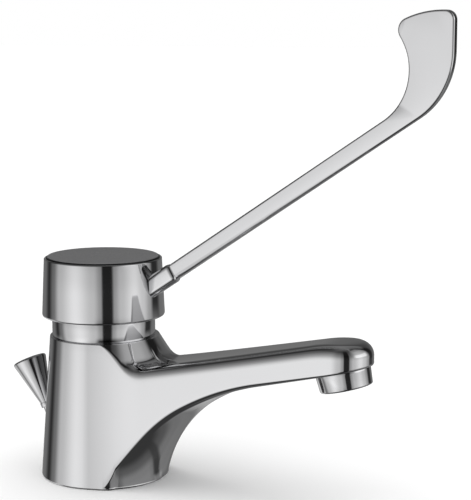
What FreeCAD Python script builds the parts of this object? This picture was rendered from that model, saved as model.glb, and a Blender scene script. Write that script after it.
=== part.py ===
import FreeCAD, Part
import math
import os
import re
import Sketcher

# Single lever basin mixer with a long elbow lever and a pop-up waste knob.
# The origin is the centre of the foot on the basin, +Z goes up and +X runs along the spout.
# All lengths are millimetres and all angles are degrees.

SIZES = {
    # Column of the casting, a cone that widens towards the basin
    "foot_rad": 29.3,
    "shoulder_rad": 24.6,
    "column_height": 65.2,
    "foot_edge": 0.8,
    # Spout, seen from above a drop that is tangent to the column
    "spout_root_rad": 24.4,
    "spout_root_x": 6.0,
    "nose_reach": 121.0,
    "nose_rad": 13.5,
    # Top of the spout, a slope that sweeps up to the shoulder in a bowl
    "top_slope": 12.5,
    "bowl_rad": 9.0,
    "bowl_gap": 0.6,
    "top_edge": 5.2,
    "crown_start": 111.0,
    "crown_rad": 64.0,
    # Underside of the spout, two arcs from the foot that run out in a slope
    "under_foot_rad": 29.0,
    "under_lean": 10.0,
    "under_bend_rad": 58.0,
    "under_turn": 33.0,
    "under_slope": 14.0,
    "under_height": 31.4,
    "under_edge_root": 4.6,
    "under_edge_nose": 1.3,
    # Hollow foot with the floor that carries the hoses and the stud
    "cavity_rad": 24.4,
    "cavity_height": 18.0,
    "seat_height": 30.0,
    "inlet_thread_dia": 10.0,
    "inlet_thread_depth": 10.0,
    "boss_wall": 2.4,
    "boss_drop": 2.0,
    "inlet_spread": 9.0,
    "inlet_port_rad": 3.2,
    "stud_thread_dia": 8.0,
    "stud_depth": 9.5,
    "stud_x": 14.0,
    # Rubber ring in the foot
    "gasket_groove_rad": 25.7,
    "gasket_groove_width": 2.2,
    "gasket_groove_depth": 1.6,
    "gasket_clear": 0.1,
    # Chamber of the cartridge
    "chamber_rad": 20.2,
    "nut_thread_rad": 21.6,
    "nut_thread_length": 7.4,
    # Collar ring between column and cap
    "ring_rad": 23.5,
    "ring_wall": 1.9,
    "ring_height": 8.8,
    "ring_lip": 1.6,
    "ring_lip_rad": 17.4,
    "ring_edge": 0.7,
    # Cartridge: housing, foot, discs, carrier, rotor
    "housing_rad": 19.9,
    "housing_wall": 1.9,
    "nut_length": 7.2,
    "neck_rad": 16.3,
    "neck_top": 68.0,
    "nut_clear": 0.2,
    "nut_hex_rad": 21.0,
    "nut_top": 71.8,
    "cartridge_foot_height": 6.4,
    "disc_rad": 15.0,
    "disc_thick": 3.5,
    "disc_sunk": 1.9,
    "disc_clear": 0.1,
    "moving_disc_rad": 13.3,
    "moving_disc_thick": 3.0,
    "pocket_rad": 7.3,
    "pocket_offset": 3.0,
    "pocket_depth": 1.5,
    "disc_film": 0.02,
    "carrier_rad": 12.5,
    "carrier_width": 22.0,
    "carrier_height": 5.8,
    "carrier_clear": 0.18,
    "peg_rad": 1.5,
    "peg_length": 2.6,
    "peg_spread": 16.0,
    "peg_clear": 0.1,
    "peg_room": 0.4,
    "seal_ring_rad": 4.9,
    "seal_cord_rad": 0.8,
    "seal_clear": 0.02,
    "outlet_x": 7.0,
    "outlet_window": 7.0,
    "window_start": 4.0,
    "window_skin": 1.0,
    # Rotor that turns in the neck and carries the spindle
    "rotor_flange_rad": 17.8,
    "rotor_flange": 3.0,
    "rotor_clear": 0.1,
    "rotor_top": 68.4,
    "rotor_leg_depth": 4.2,
    "rotor_leg_width": 2.6,
    "rotor_leg_length": 17.5,
    "slot_width": 8.4,
    "slot_back": 9.6,
    "slot_front": 7.2,
    "oring_depth": 1.5,
    "oring_groove": 1.8,
    "oring_drop": 3.9,
    # Spindle, rocking on its pin
    "pivot_height": 60.0,
    "pin_rad": 1.75,
    "pin_half": 12.6,
    "pin_clear": 0.05,
    "spindle_square": 8.0,
    "spindle_gap": 1.4,
    "arm_lean": 12.5,
    "arm_rad": 2.4,
    "ball_rad": 3.0,
    "ball_rise": 5.3,
    "ball_clear": 0.3,
    # Cap of the handle
    "cap_bottom": 74.3,
    "cap_rim": 100.9,
    "cap_bottom_rad": 28.0,
    "cap_top_rad": 26.8,
    "cap_wall": 1.6,
    "cap_plate": 3.2,
    "cap_edge": 0.8,
    "socket_rad": 9.5,
    "socket_depth": 12.0,
    "socket_clear": 0.1,
    "cover_rad": 25.5,
    "cover_thick": 2.6,
    "cover_clear": 0.15,
    "cover_sunk": 1.7,
    "cover_edge": 1.0,
    "screw_rad": 2.5,
    "screw_head_rad": 4.6,
    "screw_head": 2.6,
    "screw_length": 15.0,
    "screw_socket": 4.0,
    "screw_socket_floor": 0.8,
    "screw_clear": 0.1,
    # Elbow lever
    "lever_angle": 33.1,
    "lever_root_height": 72.0,
    "lever_depth": 7.4,
    "lever_thick": 4.0,
    "lever_edge": 0.9,
    "lever_start": 34.0,
    "boss_half": 4.7,
    "boss_side": 3.6,
    "boss_corner": 2.2,
    "boss_start": 24.0,
    "boss_end": 47.0,
    "boss_edge": 0.9,
    "mortise_clear": 0.1,
    "lever_pin_rad": 1.25,
    "lever_pin_at": 43.0,
    "lever_pin_sunk": 0.1,
    "lever_pin_skin": 1.2,
    "paddle_front": 168.8,
    "outer_bend": 32.0,
    "paddle_waist": 149.7,
    "inner_bend": 24.0,
    "paddle_flare": 47.1,
    "paddle_front_edge": 15.6,
    "paddle_crown": 40.0,
    "paddle_back_corner": 5.0,
    "paddle_front_corner": 4.0,
    # Aerator, its axis square to the underside
    "aerator_x": 121.6,
    "aerator_rad": 11.8,
    "aerator_tip_rad": 11.3,
    "aerator_skirt": 7.8,
    "aerator_collar": 1.2,
    "aerator_tip_edge": 0.5,
    "aerator_thread_rad": 10.9,
    "aerator_thread_length": 6.0,
    "aerator_thread_clear": 0.1,
    "aerator_seat": 0.4,
    "aerator_bore_rad": 9.2,
    "aerator_lip_rad": 8.2,
    "aerator_lip": 1.0,
    "insert_clear": 0.1,
    "insert_height": 8.0,
    "insert_hole_rad": 0.8,
    "insert_pitch": 2.9,
    "washer_thick": 1.8,
    "washer_hole_rad": 6.5,
    "washer_clear": 0.1,
    # Waterway through the spout
    "waterway_rad": 4.0,
    "waterway_nose_depth": 6.2,
    "waterway_nose_side": 9.0,
    "waterway_bend_x": 70.0,
    "waterway_bend_height": 54.5,
    "waterway_root_x": 17.0,
    "waterway_root_height": 35.0,
    # Pull rod of the pop-up waste, leaning back out of the column
    "rod_tilt": 25.5,
    "rod_rad": 2.0,
    "rod_foot_x": -20.8,
    "rod_foot_height": 1.4,
    "rod_travel": 12.0,
    "knob_at": 30.6,
    "knob_length": 22.0,
    "knob_tip_rad": 2.7,
    "knob_top_rad": 8.0,
    "knob_edge": 1.3,
    "knob_dome": 0.5,
    "knob_bore": 12.0,
    "locknut_height": 2.2,
    "locknut_rad": 2.9,
    "bush_rad": 3.4,
    "bush_low": 4.6,
    "bush_high": 16.4,
    "bush_clear": 0.05,
    "rod_hole_low": 6.0,
    "rod_hole_high": 28.4,
    # How far a cutting tool runs past what it cuts
    "past": 1.0,
}

doc = FreeCAD.newDocument("lever_mixer_tap")
sheet = doc.addObject("Spreadsheet::Sheet", "Sizes")
for row, (alias, number) in enumerate(SIZES.items(), start=1):
    sheet.set("A%d" % row, alias)
    sheet.set("B%d" % row, str(number))
    sheet.setAlias("B%d" % row, alias)
doc.recompute()

# Two measures closer than this count as one
CLOSE = 0.01

WORDS = re.compile(r"\b(" + "|".join(sorted(SIZES, key=len, reverse=True)) + r")\b")
Z_AXIS = FreeCAD.Vector(0, 0, 1)
Y_AXIS = FreeCAD.Vector(0, 1, 0)


def tied(text):
    """An expression in which every size is a cell of the sheet."""
    return WORDS.sub(r"Sizes.\1", str(text))


def value(text):
    """What an expression comes to now, as a plain number."""
    number = sheet.evalExpression(tied(text))
    return float(getattr(number, "Value", number))


def bind(thing, **properties):
    """Ties properties of an object to expressions; Base_x stands for Placement.Base.x."""
    for name, text in properties.items():
        path = "Placement." + name.replace("_", ".") if name.startswith("Base") else name
        thing.setExpression(path, tied(text))
    return thing


def lean(thing, axis, text):
    """Turns an object about an axis by an angle that is tied to an expression."""
    thing.Placement = FreeCAD.Placement(FreeCAD.Vector(), FreeCAD.Rotation(axis, 10))
    thing.setExpression("Placement.Rotation.Angle", tied(text))
    return thing


# Closed outlines in a sketch

def arc_between(start, end, radius, side):
    """Arc from start to end; side +1 has its centre left of the way, -1 right of it."""
    way = end - start
    middle = (start + end) * 0.5
    left = FreeCAD.Vector(-way.y, way.x, 0).normalize()
    rise = math.sqrt(max(radius * radius - way.Length * way.Length / 4, 0))
    centre = middle + left * (rise * side)
    bulge = centre - left * (radius * side)
    return Part.Arc(start, bulge, end)


def outline(sketch, corners):
    """Draws a closed outline. A corner is (x, y) or (x, y, radius, side), with an arc leaving it."""
    here = [FreeCAD.Vector(value(c[0]), value(c[1]), 0) for c in corners]
    following = here[1:] + here[:1]
    kinds = []
    for corner, start, end in zip(corners, here, following):
        if len(corner) == 2:
            sketch.addGeometry(Part.LineSegment(start, end), False)
            kinds.append((1, 2))
        else:
            arc = arc_between(start, end, value(corner[2]), corner[3])
            sketch.addGeometry(arc, False)
            kinds.append((1, 2) if corner[3] > 0 else (2, 1))
    for index, corner in enumerate(corners):
        after = (index + 1) % len(corners)
        joint = ("Coincident", index, kinds[index][1], after, kinds[after][0])
        sketch.addConstraint(Sketcher.Constraint(*joint))
    for index, corner in enumerate(corners):
        for direction, text, number in zip(("DistanceX", "DistanceY"), corner, here[index]):
            place = Sketcher.Constraint(direction, index, kinds[index][0], number)
            count = sketch.addConstraint(place)
            if WORDS.search(str(text)):
                sketch.setExpression("Constraints[%d]" % count, tied(text))
        if len(corner) == 4:
            count = sketch.addConstraint(Sketcher.Constraint("Radius", index, value(corner[2])))
            sketch.setExpression("Constraints[%d]" % count, tied(corner[2]))


def new_sketch(body, name, role):
    """A sketch on one of the body's own origin planes."""
    sketch = body.newObject("Sketcher::SketchObject", name)
    plane = [item for item in body.Origin.OriginFeatures if item.Role == role][0]
    sketch.AttachmentSupport = [(plane, "")]
    sketch.MapMode = "FlatFace"
    return sketch


def spun(body, name, corners, kind="PartDesign::Revolution"):
    """Turns an outline of (radius, height) corners about the upright axis."""
    sketch = new_sketch(body, name + "_outline", "XZ_Plane")
    outline(sketch, corners)
    turn = body.newObject(kind, name)
    turn.Profile = sketch
    turn.ReferenceAxis = (sketch, ["V_Axis"])
    turn.Angle = 360
    return turn


def turned(label, corners):
    """A body with one turned feature."""
    body = doc.addObject("PartDesign::Body", label)
    spun(body, label + "_turn", corners)
    return body


def cylinder(name, radius, height, x="0", y="0", z="0"):
    """An upright cylinder from height z upwards."""
    rod = doc.addObject("Part::Cylinder", name)
    return bind(rod, Radius=radius, Height=height, Base_x=x, Base_y=y, Base_z=z)


def leaning_cylinder(name, radius, start, end):
    """A cylinder between two points (x, z) of the middle plane."""
    run = "((%s) - (%s))" % (end[0], start[0])
    rise = "((%s) - (%s))" % (end[1], start[1])
    rod = lean(doc.addObject("Part::Cylinder", name), Y_AXIS, "atan2(%s; %s)" % (run, rise))
    length = "sqrt(%s ^ 2 + %s ^ 2)" % (run, rise)
    return bind(rod, Radius=radius, Height=length, Base_x=start[0], Base_z=start[1])


def box(name, length, width, height, x, y, z):
    """A box from its lowest corner."""
    block = doc.addObject("Part::Box", name)
    return bind(block, Length=length, Width=width, Height=height, Base_x=x, Base_y=y, Base_z=z)


def seal(label, ring, cord, z):
    """A rubber ring, its cord flattened on all sides in the groove."""
    flat = "(%s) * tan(22.5 * 1deg)" % cord
    low, high = "(%s) - (%s)" % (z, cord), "(%s) + (%s)" % (z, cord)
    inner, outer = "(%s) - (%s)" % (ring, cord), "(%s) + (%s)" % (ring, cord)
    return turned(label, [
        ("(%s) - %s" % (ring, flat), low),
        ("(%s) + %s" % (ring, flat), low),
        (outer, "(%s) - %s" % (z, flat)),
        (outer, "(%s) + %s" % (z, flat)),
        ("(%s) + %s" % (ring, flat), high),
        ("(%s) - %s" % (ring, flat), high),
        (inner, "(%s) + %s" % (z, flat)),
        (inner, "(%s) - %s" % (z, flat)),
    ])


def joined(label, pieces):
    """Several solids as one."""
    union = doc.addObject("Part::MultiFuse", label)
    union.Shapes = pieces
    return union


def cut(label, base, tools):
    """A solid less one or more tools."""
    tool = tools[0]
    if len(tools) > 1:
        tool = joined(label + "_tools", tools)
    less = doc.addObject("Part::Cut", label)
    less.Base = base
    less.Tool = tool
    return less


def rounded(body, name, radius, pick):
    """Rounds the edges of a body's tip that pick accepts."""
    doc.recompute()
    tip = body.Tip
    edges = ["Edge%d" % (i + 1) for i, edge in enumerate(tip.Shape.Edges) if pick(tip.Shape, edge)]
    fillet = body.newObject("PartDesign::Fillet", name)
    fillet.Base = (tip, edges)
    bind(fillet, Radius=radius)
    return fillet


def at_circle(radius, height):
    """Picks the round edge that lies at a radius and a height."""
    wanted_radius, wanted_height = value(radius), value(height)

    def pick(shape, edge):
        if not isinstance(edge.Curve, Part.Circle):
            return False
        near_radius = abs(edge.Curve.Radius - wanted_radius) < CLOSE
        return near_radius and abs(edge.Curve.Center.z - wanted_height) < CLOSE

    return pick


# Casting: column and spout in one

TAN_TOP = "tan(top_slope * 1deg)"
TAN_UNDER = "tan(under_slope * 1deg)"
BOWL_X = "(shoulder_rad + bowl_gap + bowl_rad)"
TOP_HEIGHT = "(column_height - %s * %s - bowl_rad / cos(top_slope * 1deg))" % (TAN_TOP, BOWL_X)
BOWL_END = ("%s + bowl_rad * sin(top_slope * 1deg)" % BOWL_X,
            "column_height - bowl_rad * cos(top_slope * 1deg)")
TURN_X = "(under_foot_rad + under_bend_rad * (cos(under_lean * 1deg) - sin(under_turn * 1deg)))"
TURN_Z = "(under_bend_rad * (cos(under_turn * 1deg) - sin(under_lean * 1deg)))"
UNDER_RUN = "(sin(under_turn * 1deg) - sin(under_slope * 1deg))"
UNDER_RISE = "(cos(under_slope * 1deg) - cos(under_turn * 1deg))"
UNDER_RAD = ("((under_height + %s * %s - %s) / (%s - %s * %s))"
             % (TAN_UNDER, TURN_X, TURN_Z, UNDER_RISE, TAN_UNDER, UNDER_RUN))
UNDER_END = ("%s + %s * %s" % (TURN_X, UNDER_RAD, UNDER_RUN),
             "%s + %s * %s" % (TURN_Z, UNDER_RAD, UNDER_RISE))
CROWN_Z = "(%s + crown_start * %s)" % (TOP_HEIGHT, TAN_TOP)
CROWN_END = "crown_start + crown_rad * 2 * sin(top_slope * 1deg)"
BEYOND = "(nose_reach + nose_rad + past * 20)"
ABOVE = "(column_height + %s * %s)" % (BEYOND, TAN_TOP)


def drop_plan(sketch):
    """The spout from above: two straight walls tangent to the column and to the round nose."""
    cosine = "((spout_root_rad - nose_rad) / nose_reach)"
    sine = "sqrt(1 - %s ^ 2)" % cosine
    wall_x = "nose_reach + nose_rad * %s" % cosine
    wall_y = "nose_rad * %s" % sine
    root_y = "(spout_root_rad - spout_root_x * %s) / %s" % (cosine, sine)
    outline(sketch, [
        ("spout_root_x", root_y),
        ("spout_root_x", "0 - " + root_y),
        (wall_x, "0 - " + wall_y, "nose_rad", 1),
        (wall_x, wall_y),
    ])


def spout_rim(upper):
    """Picks the rim of the spout walls, the upper one or the lower one."""
    root = value("spout_root_x")

    def wall(face):
        middle = face.valueAt(*[(a + b) / 2 for a, b in zip(face.ParameterRange[::2],
                                                            face.ParameterRange[1::2])])
        normal = face.normalAt(*face.Surface.parameter(middle))
        upright = isinstance(face.Surface, (Part.Plane, Part.Cylinder)) and abs(normal.z) < CLOSE
        return upright and not (abs(normal.y) < CLOSE and middle.x < root + CLOSE)

    def pick(shape, edge):
        faces = [face for face in shape.Faces if any(edge.isSame(other) for other in face.Edges)]
        walls = [face for face in faces if wall(face)]
        others = [face for face in faces if not wall(face)]
        if len(walls) != 1 or len(others) != 1:
            return False
        other = others[0]
        if isinstance(other.Surface, Part.Plane):
            return upper and edge.CenterOfMass.z > value("column_height") - CLOSE and edge.Length > 1
        point = edge.valueAt((edge.FirstParameter + edge.LastParameter) / 2)
        reach = math.hypot(point.x, point.y)
        above = value(TOP_HEIGHT) + reach * value(TAN_TOP)
        below = min(value("under_height") + reach * value(TAN_UNDER), above)
        return (point.z > (above + below) / 2) == upper

    return pick


casting = doc.addObject("PartDesign::Body", "spout_blank")
plan = new_sketch(casting, "spout_plan", "XY_Plane")
drop_plan(plan)
spout = casting.newObject("PartDesign::Pad", "spout_walls")
spout.Profile = plan
bind(spout, Length=ABOVE)
spun(casting, "spout_underside", [
    ("under_foot_rad", "0", "under_bend_rad", -1),
    (TURN_X, TURN_Z, UNDER_RAD, -1),
    UNDER_END,
    (BEYOND, "under_height + %s * %s" % (BEYOND, TAN_UNDER)),
    (BEYOND, "0"),
], "PartDesign::Groove")
spun(casting, "spout_top", [
    ("0", "column_height"),
    ("shoulder_rad + bowl_gap", "column_height", "bowl_rad", 1),
    BOWL_END,
    ("crown_start", CROWN_Z, "crown_rad", -1),
    (CROWN_END, CROWN_Z),
    (CROWN_END, ABOVE + " + past * 5"),
    ("0", ABOVE + " + past * 5"),
], "PartDesign::Groove")
rounded(casting, "spout_upper_rim", "top_edge", spout_rim(True))
doc.recompute()


def lower_rounding(vertex):
    """Radius of the lower rim at a point, which runs out from the root to the nose."""
    way = (vertex.X - value("under_foot_rad")) / (value("nose_reach") - value("under_foot_rad"))
    way = min(max(way, 0), 1)
    return value("under_edge_root") * (1 - way) + value("under_edge_nose") * way


lower_rim = doc.addObject("Part::Fillet", "spout_lower_rim")
lower_rim.Base = casting
lower_rim.Edges = [(number, lower_rounding(edge.Vertexes[0]), lower_rounding(edge.Vertexes[-1]))
                   for number, edge in enumerate(casting.Shape.Edges, start=1)
                   if spout_rim(False)(casting.Shape, edge)]
column = turned("column", [
    ("0", "0"),
    ("foot_rad - foot_edge", "0"),
    ("foot_rad", "foot_edge"),
    ("shoulder_rad", "column_height"),
    ("0", "column_height"),
])
casting_blank = joined("column_and_spout", [column, lower_rim])

# Aerator axis: a point of the underside and a direction square to it
AERATOR = ("aerator_x", "(under_height + aerator_x * %s)" % TAN_UNDER)


def along_aerator(depth, side="0"):
    """A point at a depth inside the spout, measured up the aerator's axis."""
    x = "%s - (%s) * sin(under_slope * 1deg) + (%s) * cos(under_slope * 1deg)" % (AERATOR[0], depth, side)
    z = "%s + (%s) * cos(under_slope * 1deg) + (%s) * sin(under_slope * 1deg)" % (AERATOR[1], depth, side)
    return x, z


def on_aerator(piece, depth="0"):
    """Sets a turned piece on the aerator's axis, its own zero at a depth."""
    lean(piece, Y_AXIS, "-1deg * under_slope")
    x, z = along_aerator(depth)
    return bind(piece, Base_x=x, Base_z=z)


def along_rod(distance, side="0"):
    """A point up the pull rod from its lower end, and aside from it."""
    x = "rod_foot_x - (%s) * sin(rod_tilt * 1deg) + (%s) * cos(rod_tilt * 1deg)" % (distance, side)
    z = "rod_foot_height + (%s) * cos(rod_tilt * 1deg) + (%s) * sin(rod_tilt * 1deg)" % (distance, side)
    return x, z


def on_rod(piece, distance="0"):
    """Sets a turned piece on the pull rod's axis."""
    lean(piece, Y_AXIS, "-1deg * rod_tilt")
    x, z = along_rod(distance)
    return bind(piece, Base_x=x, Base_z=z)


AERATOR_BORE = "(aerator_seat + aerator_thread_length + washer_thick + aerator_thread_clear)"
WATER_NOSE = along_aerator("waterway_nose_depth", "0 - waterway_nose_side")
WATER_BEND = ("waterway_bend_x", "waterway_bend_height")
WATER_ROOT = ("waterway_root_x", "waterway_root_height")
bend_ball = doc.addObject("Part::Sphere", "waterway_bend")
bind(bend_ball, Radius="waterway_rad", Base_x=WATER_BEND[0], Base_z=WATER_BEND[1])
groove_outer = cylinder("gasket_groove_outer", "gasket_groove_rad + gasket_groove_width",
                        "gasket_groove_depth + past", z="0 - past")
groove_inner = cylinder("gasket_groove_inner", "gasket_groove_rad", "gasket_groove_depth + past * 3",
                        z="-2 * past")
foot_hollow = cylinder("foot_hollow", "cavity_rad", "cavity_height + past", z="0 - past")
BOSS_Z = "(cavity_height - boss_drop)"
foot_bosses = [
    cylinder("stud_boss", "stud_thread_dia / 2 + boss_wall", "boss_drop + past", x="stud_x", z=BOSS_Z),
    cylinder("inlet_boss_far", "inlet_thread_dia / 2 + boss_wall", "boss_drop + past",
             y="inlet_spread", z=BOSS_Z),
    cylinder("inlet_boss_near", "inlet_thread_dia / 2 + boss_wall", "boss_drop + past",
             y="0 - inlet_spread", z=BOSS_Z),
]
casting_tools = [
    cylinder("chamber", "chamber_rad", "column_height - seat_height + past", z="seat_height"),
    cylinder("nut_thread", "nut_thread_rad", "nut_thread_length + past",
             z="column_height - nut_thread_length"),
    cut("foot_cavity", foot_hollow, foot_bosses),
    cylinder("stud_thread", "stud_thread_dia / 2", "stud_depth + past", x="stud_x", z=BOSS_Z + " - past"),
    cut("gasket_groove", groove_outer, [groove_inner]),
    leaning_cylinder("rod_hole", "bush_rad", along_rod("0 - rod_hole_low"), along_rod("rod_hole_high")),
    on_aerator(cylinder("aerator_thread", "aerator_thread_rad + aerator_thread_clear",
                        AERATOR_BORE + " + past * 4"), "-4 * past"),
    on_aerator(cylinder("aerator_land", "aerator_rad + aerator_thread_clear", "aerator_seat + past * 4"),
               "-4 * past"),
    leaning_cylinder("waterway_front", "waterway_rad", WATER_BEND, WATER_NOSE),
    leaning_cylinder("waterway_rear", "waterway_rad", WATER_ROOT, WATER_BEND),
    bend_ball,
]
for side, name in ((1, "far"), (-1, "near")):
    y = "inlet_spread * %d" % side
    casting_tools.append(cylinder("inlet_thread_" + name, "inlet_thread_dia / 2",
                                  "inlet_thread_depth + past", y=y, z=BOSS_Z + " - past"))
    casting_tools.append(cylinder("inlet_port_" + name, "inlet_port_rad",
                                  "seat_height - cavity_height + past * 2", y=y, z="cavity_height - past"))
    casting_tools.append(cylinder("peg_hole_" + name, "peg_rad + peg_clear",
                                  "peg_length + peg_room + past", x="peg_spread * %d" % side,
                                  z="seat_height - peg_length - peg_room"))
body_casting = cut("body_casting", casting_blank, casting_tools)

base_gasket = turned("base_gasket", [
    ("gasket_groove_rad + gasket_clear", "0"),
    ("gasket_groove_rad + gasket_groove_width - gasket_clear", "0"),
    ("gasket_groove_rad + gasket_groove_width - gasket_clear", "gasket_groove_depth"),
    ("gasket_groove_rad + gasket_clear", "gasket_groove_depth"),
])

# Collar ring and the nut under it

collar_ring = turned("collar_ring", [
    ("ring_rad - ring_wall", "column_height"),
    ("ring_rad", "column_height"),
    ("ring_rad", "column_height + ring_height"),
    ("ring_lip_rad", "column_height + ring_height"),
    ("ring_lip_rad", "column_height + ring_height - ring_lip"),
    ("ring_rad - ring_wall", "column_height + ring_height - ring_lip"),
])
rounded(collar_ring, "collar_ring_edge", "ring_edge",
        at_circle("ring_rad", "column_height + ring_height"))

NUT_BORE = "neck_rad + nut_clear"
nut_hex = doc.addObject("Part::Prism", "nut_hexagon")
nut_hex.Polygon = 6
bind(nut_hex, Circumradius="nut_hex_rad", Height="nut_top - column_height", Base_z="column_height")
SHOULDER = "(column_height - nut_length)"
nut_low = cylinder("nut_low", "nut_thread_rad - nut_clear", "nut_length", z=SHOULDER)
cartridge_nut = cut("cartridge_nut", joined("nut_blank", [nut_low, nut_hex]), [
    cylinder("nut_bore", NUT_BORE, "nut_top - %s + past * 2" % SHOULDER, z=SHOULDER + " - past")])

# Cartridge that mixes the water; its heights stack up from the seat

FOOT_TOP = "(seat_height + cartridge_foot_height)"
DISC_SEAT = "(%s - disc_sunk)" % FOOT_TOP
SLIDE_Z = "(%s + disc_thick + disc_film)" % DISC_SEAT
CARRIER_Z = "(%s + moving_disc_thick)" % SLIDE_Z
ROTOR_LOW = "(%s + carrier_height + carrier_clear)" % CARRIER_Z
THROAT = "(%s + rotor_flange + rotor_clear)" % ROTOR_LOW
BALL_Z = "(%s + ball_rise)" % CARRIER_Z
ARM_DROP = "(pivot_height - %s)" % BALL_Z
ARM_LENGTH = "(%s / cos(arm_lean * 1deg))" % ARM_DROP
ARM_X = "(%s * tan(arm_lean * 1deg))" % ARM_DROP
cartridge_housing = turned("cartridge_housing", [
    ("housing_rad - housing_wall", FOOT_TOP),
    ("housing_rad", FOOT_TOP),
    ("housing_rad", SHOULDER),
    ("neck_rad", SHOULDER),
    ("neck_rad", "neck_top"),
    ("neck_rad - housing_wall", "neck_top"),
    ("neck_rad - housing_wall", THROAT),
    ("housing_rad - housing_wall", THROAT),
])

foot_blank = turned("cartridge_foot_blank", [
    ("0", "seat_height"),
    ("housing_rad", "seat_height"),
    ("housing_rad", FOOT_TOP),
    ("disc_rad + disc_clear", FOOT_TOP),
    ("disc_rad + disc_clear", DISC_SEAT),
    ("0", DISC_SEAT),
])
foot_tools = [
    box("outlet_window_cut", "housing_rad", "outlet_window",
        "cartridge_foot_height - disc_sunk - window_skin * 2",
        "window_start", "0 - outlet_window / 2", "seat_height + window_skin"),
    cylinder("outlet_port", "inlet_port_rad", "cartridge_foot_height", x="outlet_x",
             z="seat_height + window_skin * 2"),
]
foot_pegs = []
seal_rings = []
disc_ports = [cylinder("disc_outlet", "inlet_port_rad", "disc_thick + past * 2", x="outlet_x",
                       z=DISC_SEAT + " - past")]
for side, name in ((1, "far"), (-1, "near")):
    y = "inlet_spread * %d" % side
    foot_tools.append(cylinder("foot_inlet_" + name, "inlet_port_rad", "cartridge_foot_height + past * 2",
                               y=y, z="seat_height - past"))
    foot_tools.append(cylinder("seal_groove_" + name, "seal_ring_rad + seal_cord_rad",
                               "seal_cord_rad * 2", y=y, z="seat_height"))
    foot_pegs.append(cylinder("foot_peg_" + name, "peg_rad", "peg_length + past",
                              x="peg_spread * %d" % side, z="seat_height - peg_length"))
    seal_rings.append(bind(seal("seal_ring_" + name, "seal_ring_rad", "seal_cord_rad - seal_clear",
                                "seat_height + seal_cord_rad"), Base_y=y))
    disc_ports.append(cylinder("disc_inlet_" + name, "inlet_port_rad", "disc_thick + past * 2",
                               y=y, z=DISC_SEAT + " - past"))
foot_with_pegs = joined("cartridge_foot_pegged", [foot_blank] + foot_pegs)
cartridge_foot = cut("cartridge_foot", foot_with_pegs, foot_tools)
port_seals = joined("port_seals", seal_rings)
disc_blank = cylinder("fixed_disc_blank", "disc_rad", "disc_thick", z=DISC_SEAT)
fixed_disc = cut("fixed_disc", disc_blank, disc_ports)

moving_disc_blank = cylinder("moving_disc_blank", "moving_disc_rad", "moving_disc_thick",
                             x="0 - " + ARM_X, z=SLIDE_Z)
moving_disc = cut("moving_disc", moving_disc_blank, [
    cylinder("mixing_pocket", "pocket_rad", "pocket_depth + past", x="0 - %s - pocket_offset" % ARM_X,
             z=SLIDE_Z + " - past")])
carrier_round = cylinder("carrier_round", "carrier_rad", "carrier_height", x="0 - " + ARM_X, z=CARRIER_Z)
carrier_flats = box("carrier_flats", "carrier_rad * 2", "carrier_width", "carrier_height",
                    "0 - %s - carrier_rad" % ARM_X, "0 - carrier_width / 2", CARRIER_Z)
carrier_blank = doc.addObject("Part::Common", "carrier_blank")
carrier_blank.Base = carrier_round
carrier_blank.Tool = carrier_flats
disc_carrier = cut("disc_carrier", carrier_blank, [
    cylinder("ball_socket", "ball_rad + ball_clear", "carrier_height * 2", x="0 - " + ARM_X,
             z="pivot_height - %s - ball_rad - ball_clear" % ARM_LENGTH)])

# Rotor, which turns the discs and carries the spindle

ORING_Z = "(rotor_top - oring_drop)"
ROTOR_NECK = "(neck_rad - housing_wall - rotor_clear)"
rotor_blank = turned("rotor_blank", [
    ("0", ROTOR_LOW),
    ("rotor_flange_rad", ROTOR_LOW),
    ("rotor_flange_rad", ROTOR_LOW + " + rotor_flange"),
    (ROTOR_NECK, ROTOR_LOW + " + rotor_flange"),
    (ROTOR_NECK, ORING_Z + " - oring_groove / 2"),
    (ROTOR_NECK + " - oring_depth", ORING_Z + " - oring_groove / 2"),
    (ROTOR_NECK + " - oring_depth", ORING_Z + " + oring_groove / 2"),
    (ROTOR_NECK, ORING_Z + " + oring_groove / 2"),
    (ROTOR_NECK, "rotor_top"),
    ("0", "rotor_top"),
])
rotor_legs = [
    box("rotor_leg_far", "rotor_leg_length", "rotor_leg_width", "rotor_leg_depth + past",
        "0 - rotor_leg_length / 2", "carrier_width / 2 + rotor_clear", ROTOR_LOW + " - rotor_leg_depth"),
    box("rotor_leg_near", "rotor_leg_length", "rotor_leg_width", "rotor_leg_depth + past",
        "0 - rotor_leg_length / 2", "0 - carrier_width / 2 - rotor_clear - rotor_leg_width",
        ROTOR_LOW + " - rotor_leg_depth"),
]
across = doc.addObject("Part::Cylinder", "spindle_pin_hole")
lean(across, FreeCAD.Vector(1, 0, 0), "90deg")
bind(across, Radius="pin_rad", Height="pin_half * 2", Base_y="pin_half", Base_z="pivot_height")
rotor = cut("rotor", joined("rotor_with_legs", [rotor_blank] + rotor_legs), [
    box("spindle_slot", "slot_back + slot_front", "slot_width", "rotor_top - %s + past * 2" % ROTOR_LOW,
        "0 - slot_back", "0 - slot_width / 2", ROTOR_LOW + " - past"),
    across,
])
rotor_seal = seal("rotor_seal", ROTOR_NECK + " - oring_depth / 2", "oring_depth / 2 - seal_clear",
                  ORING_Z)
spindle_pin = doc.addObject("Part::Cylinder", "spindle_pin")
lean(spindle_pin, FreeCAD.Vector(1, 0, 0), "90deg")
bind(spindle_pin, Radius="pin_rad", Height="pin_half * 2", Base_y="pin_half", Base_z="pivot_height")

PLATE_LOW = "(cap_rim - cover_sunk - cap_plate)"
SPINDLE_TOP = "(%s - spindle_gap)" % PLATE_LOW
SCREW_HEAD_Z = "(cap_rim - cover_sunk - screw_head)"

# Spindle: square above, an eye on the pin, and an arm with a ball below

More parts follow.
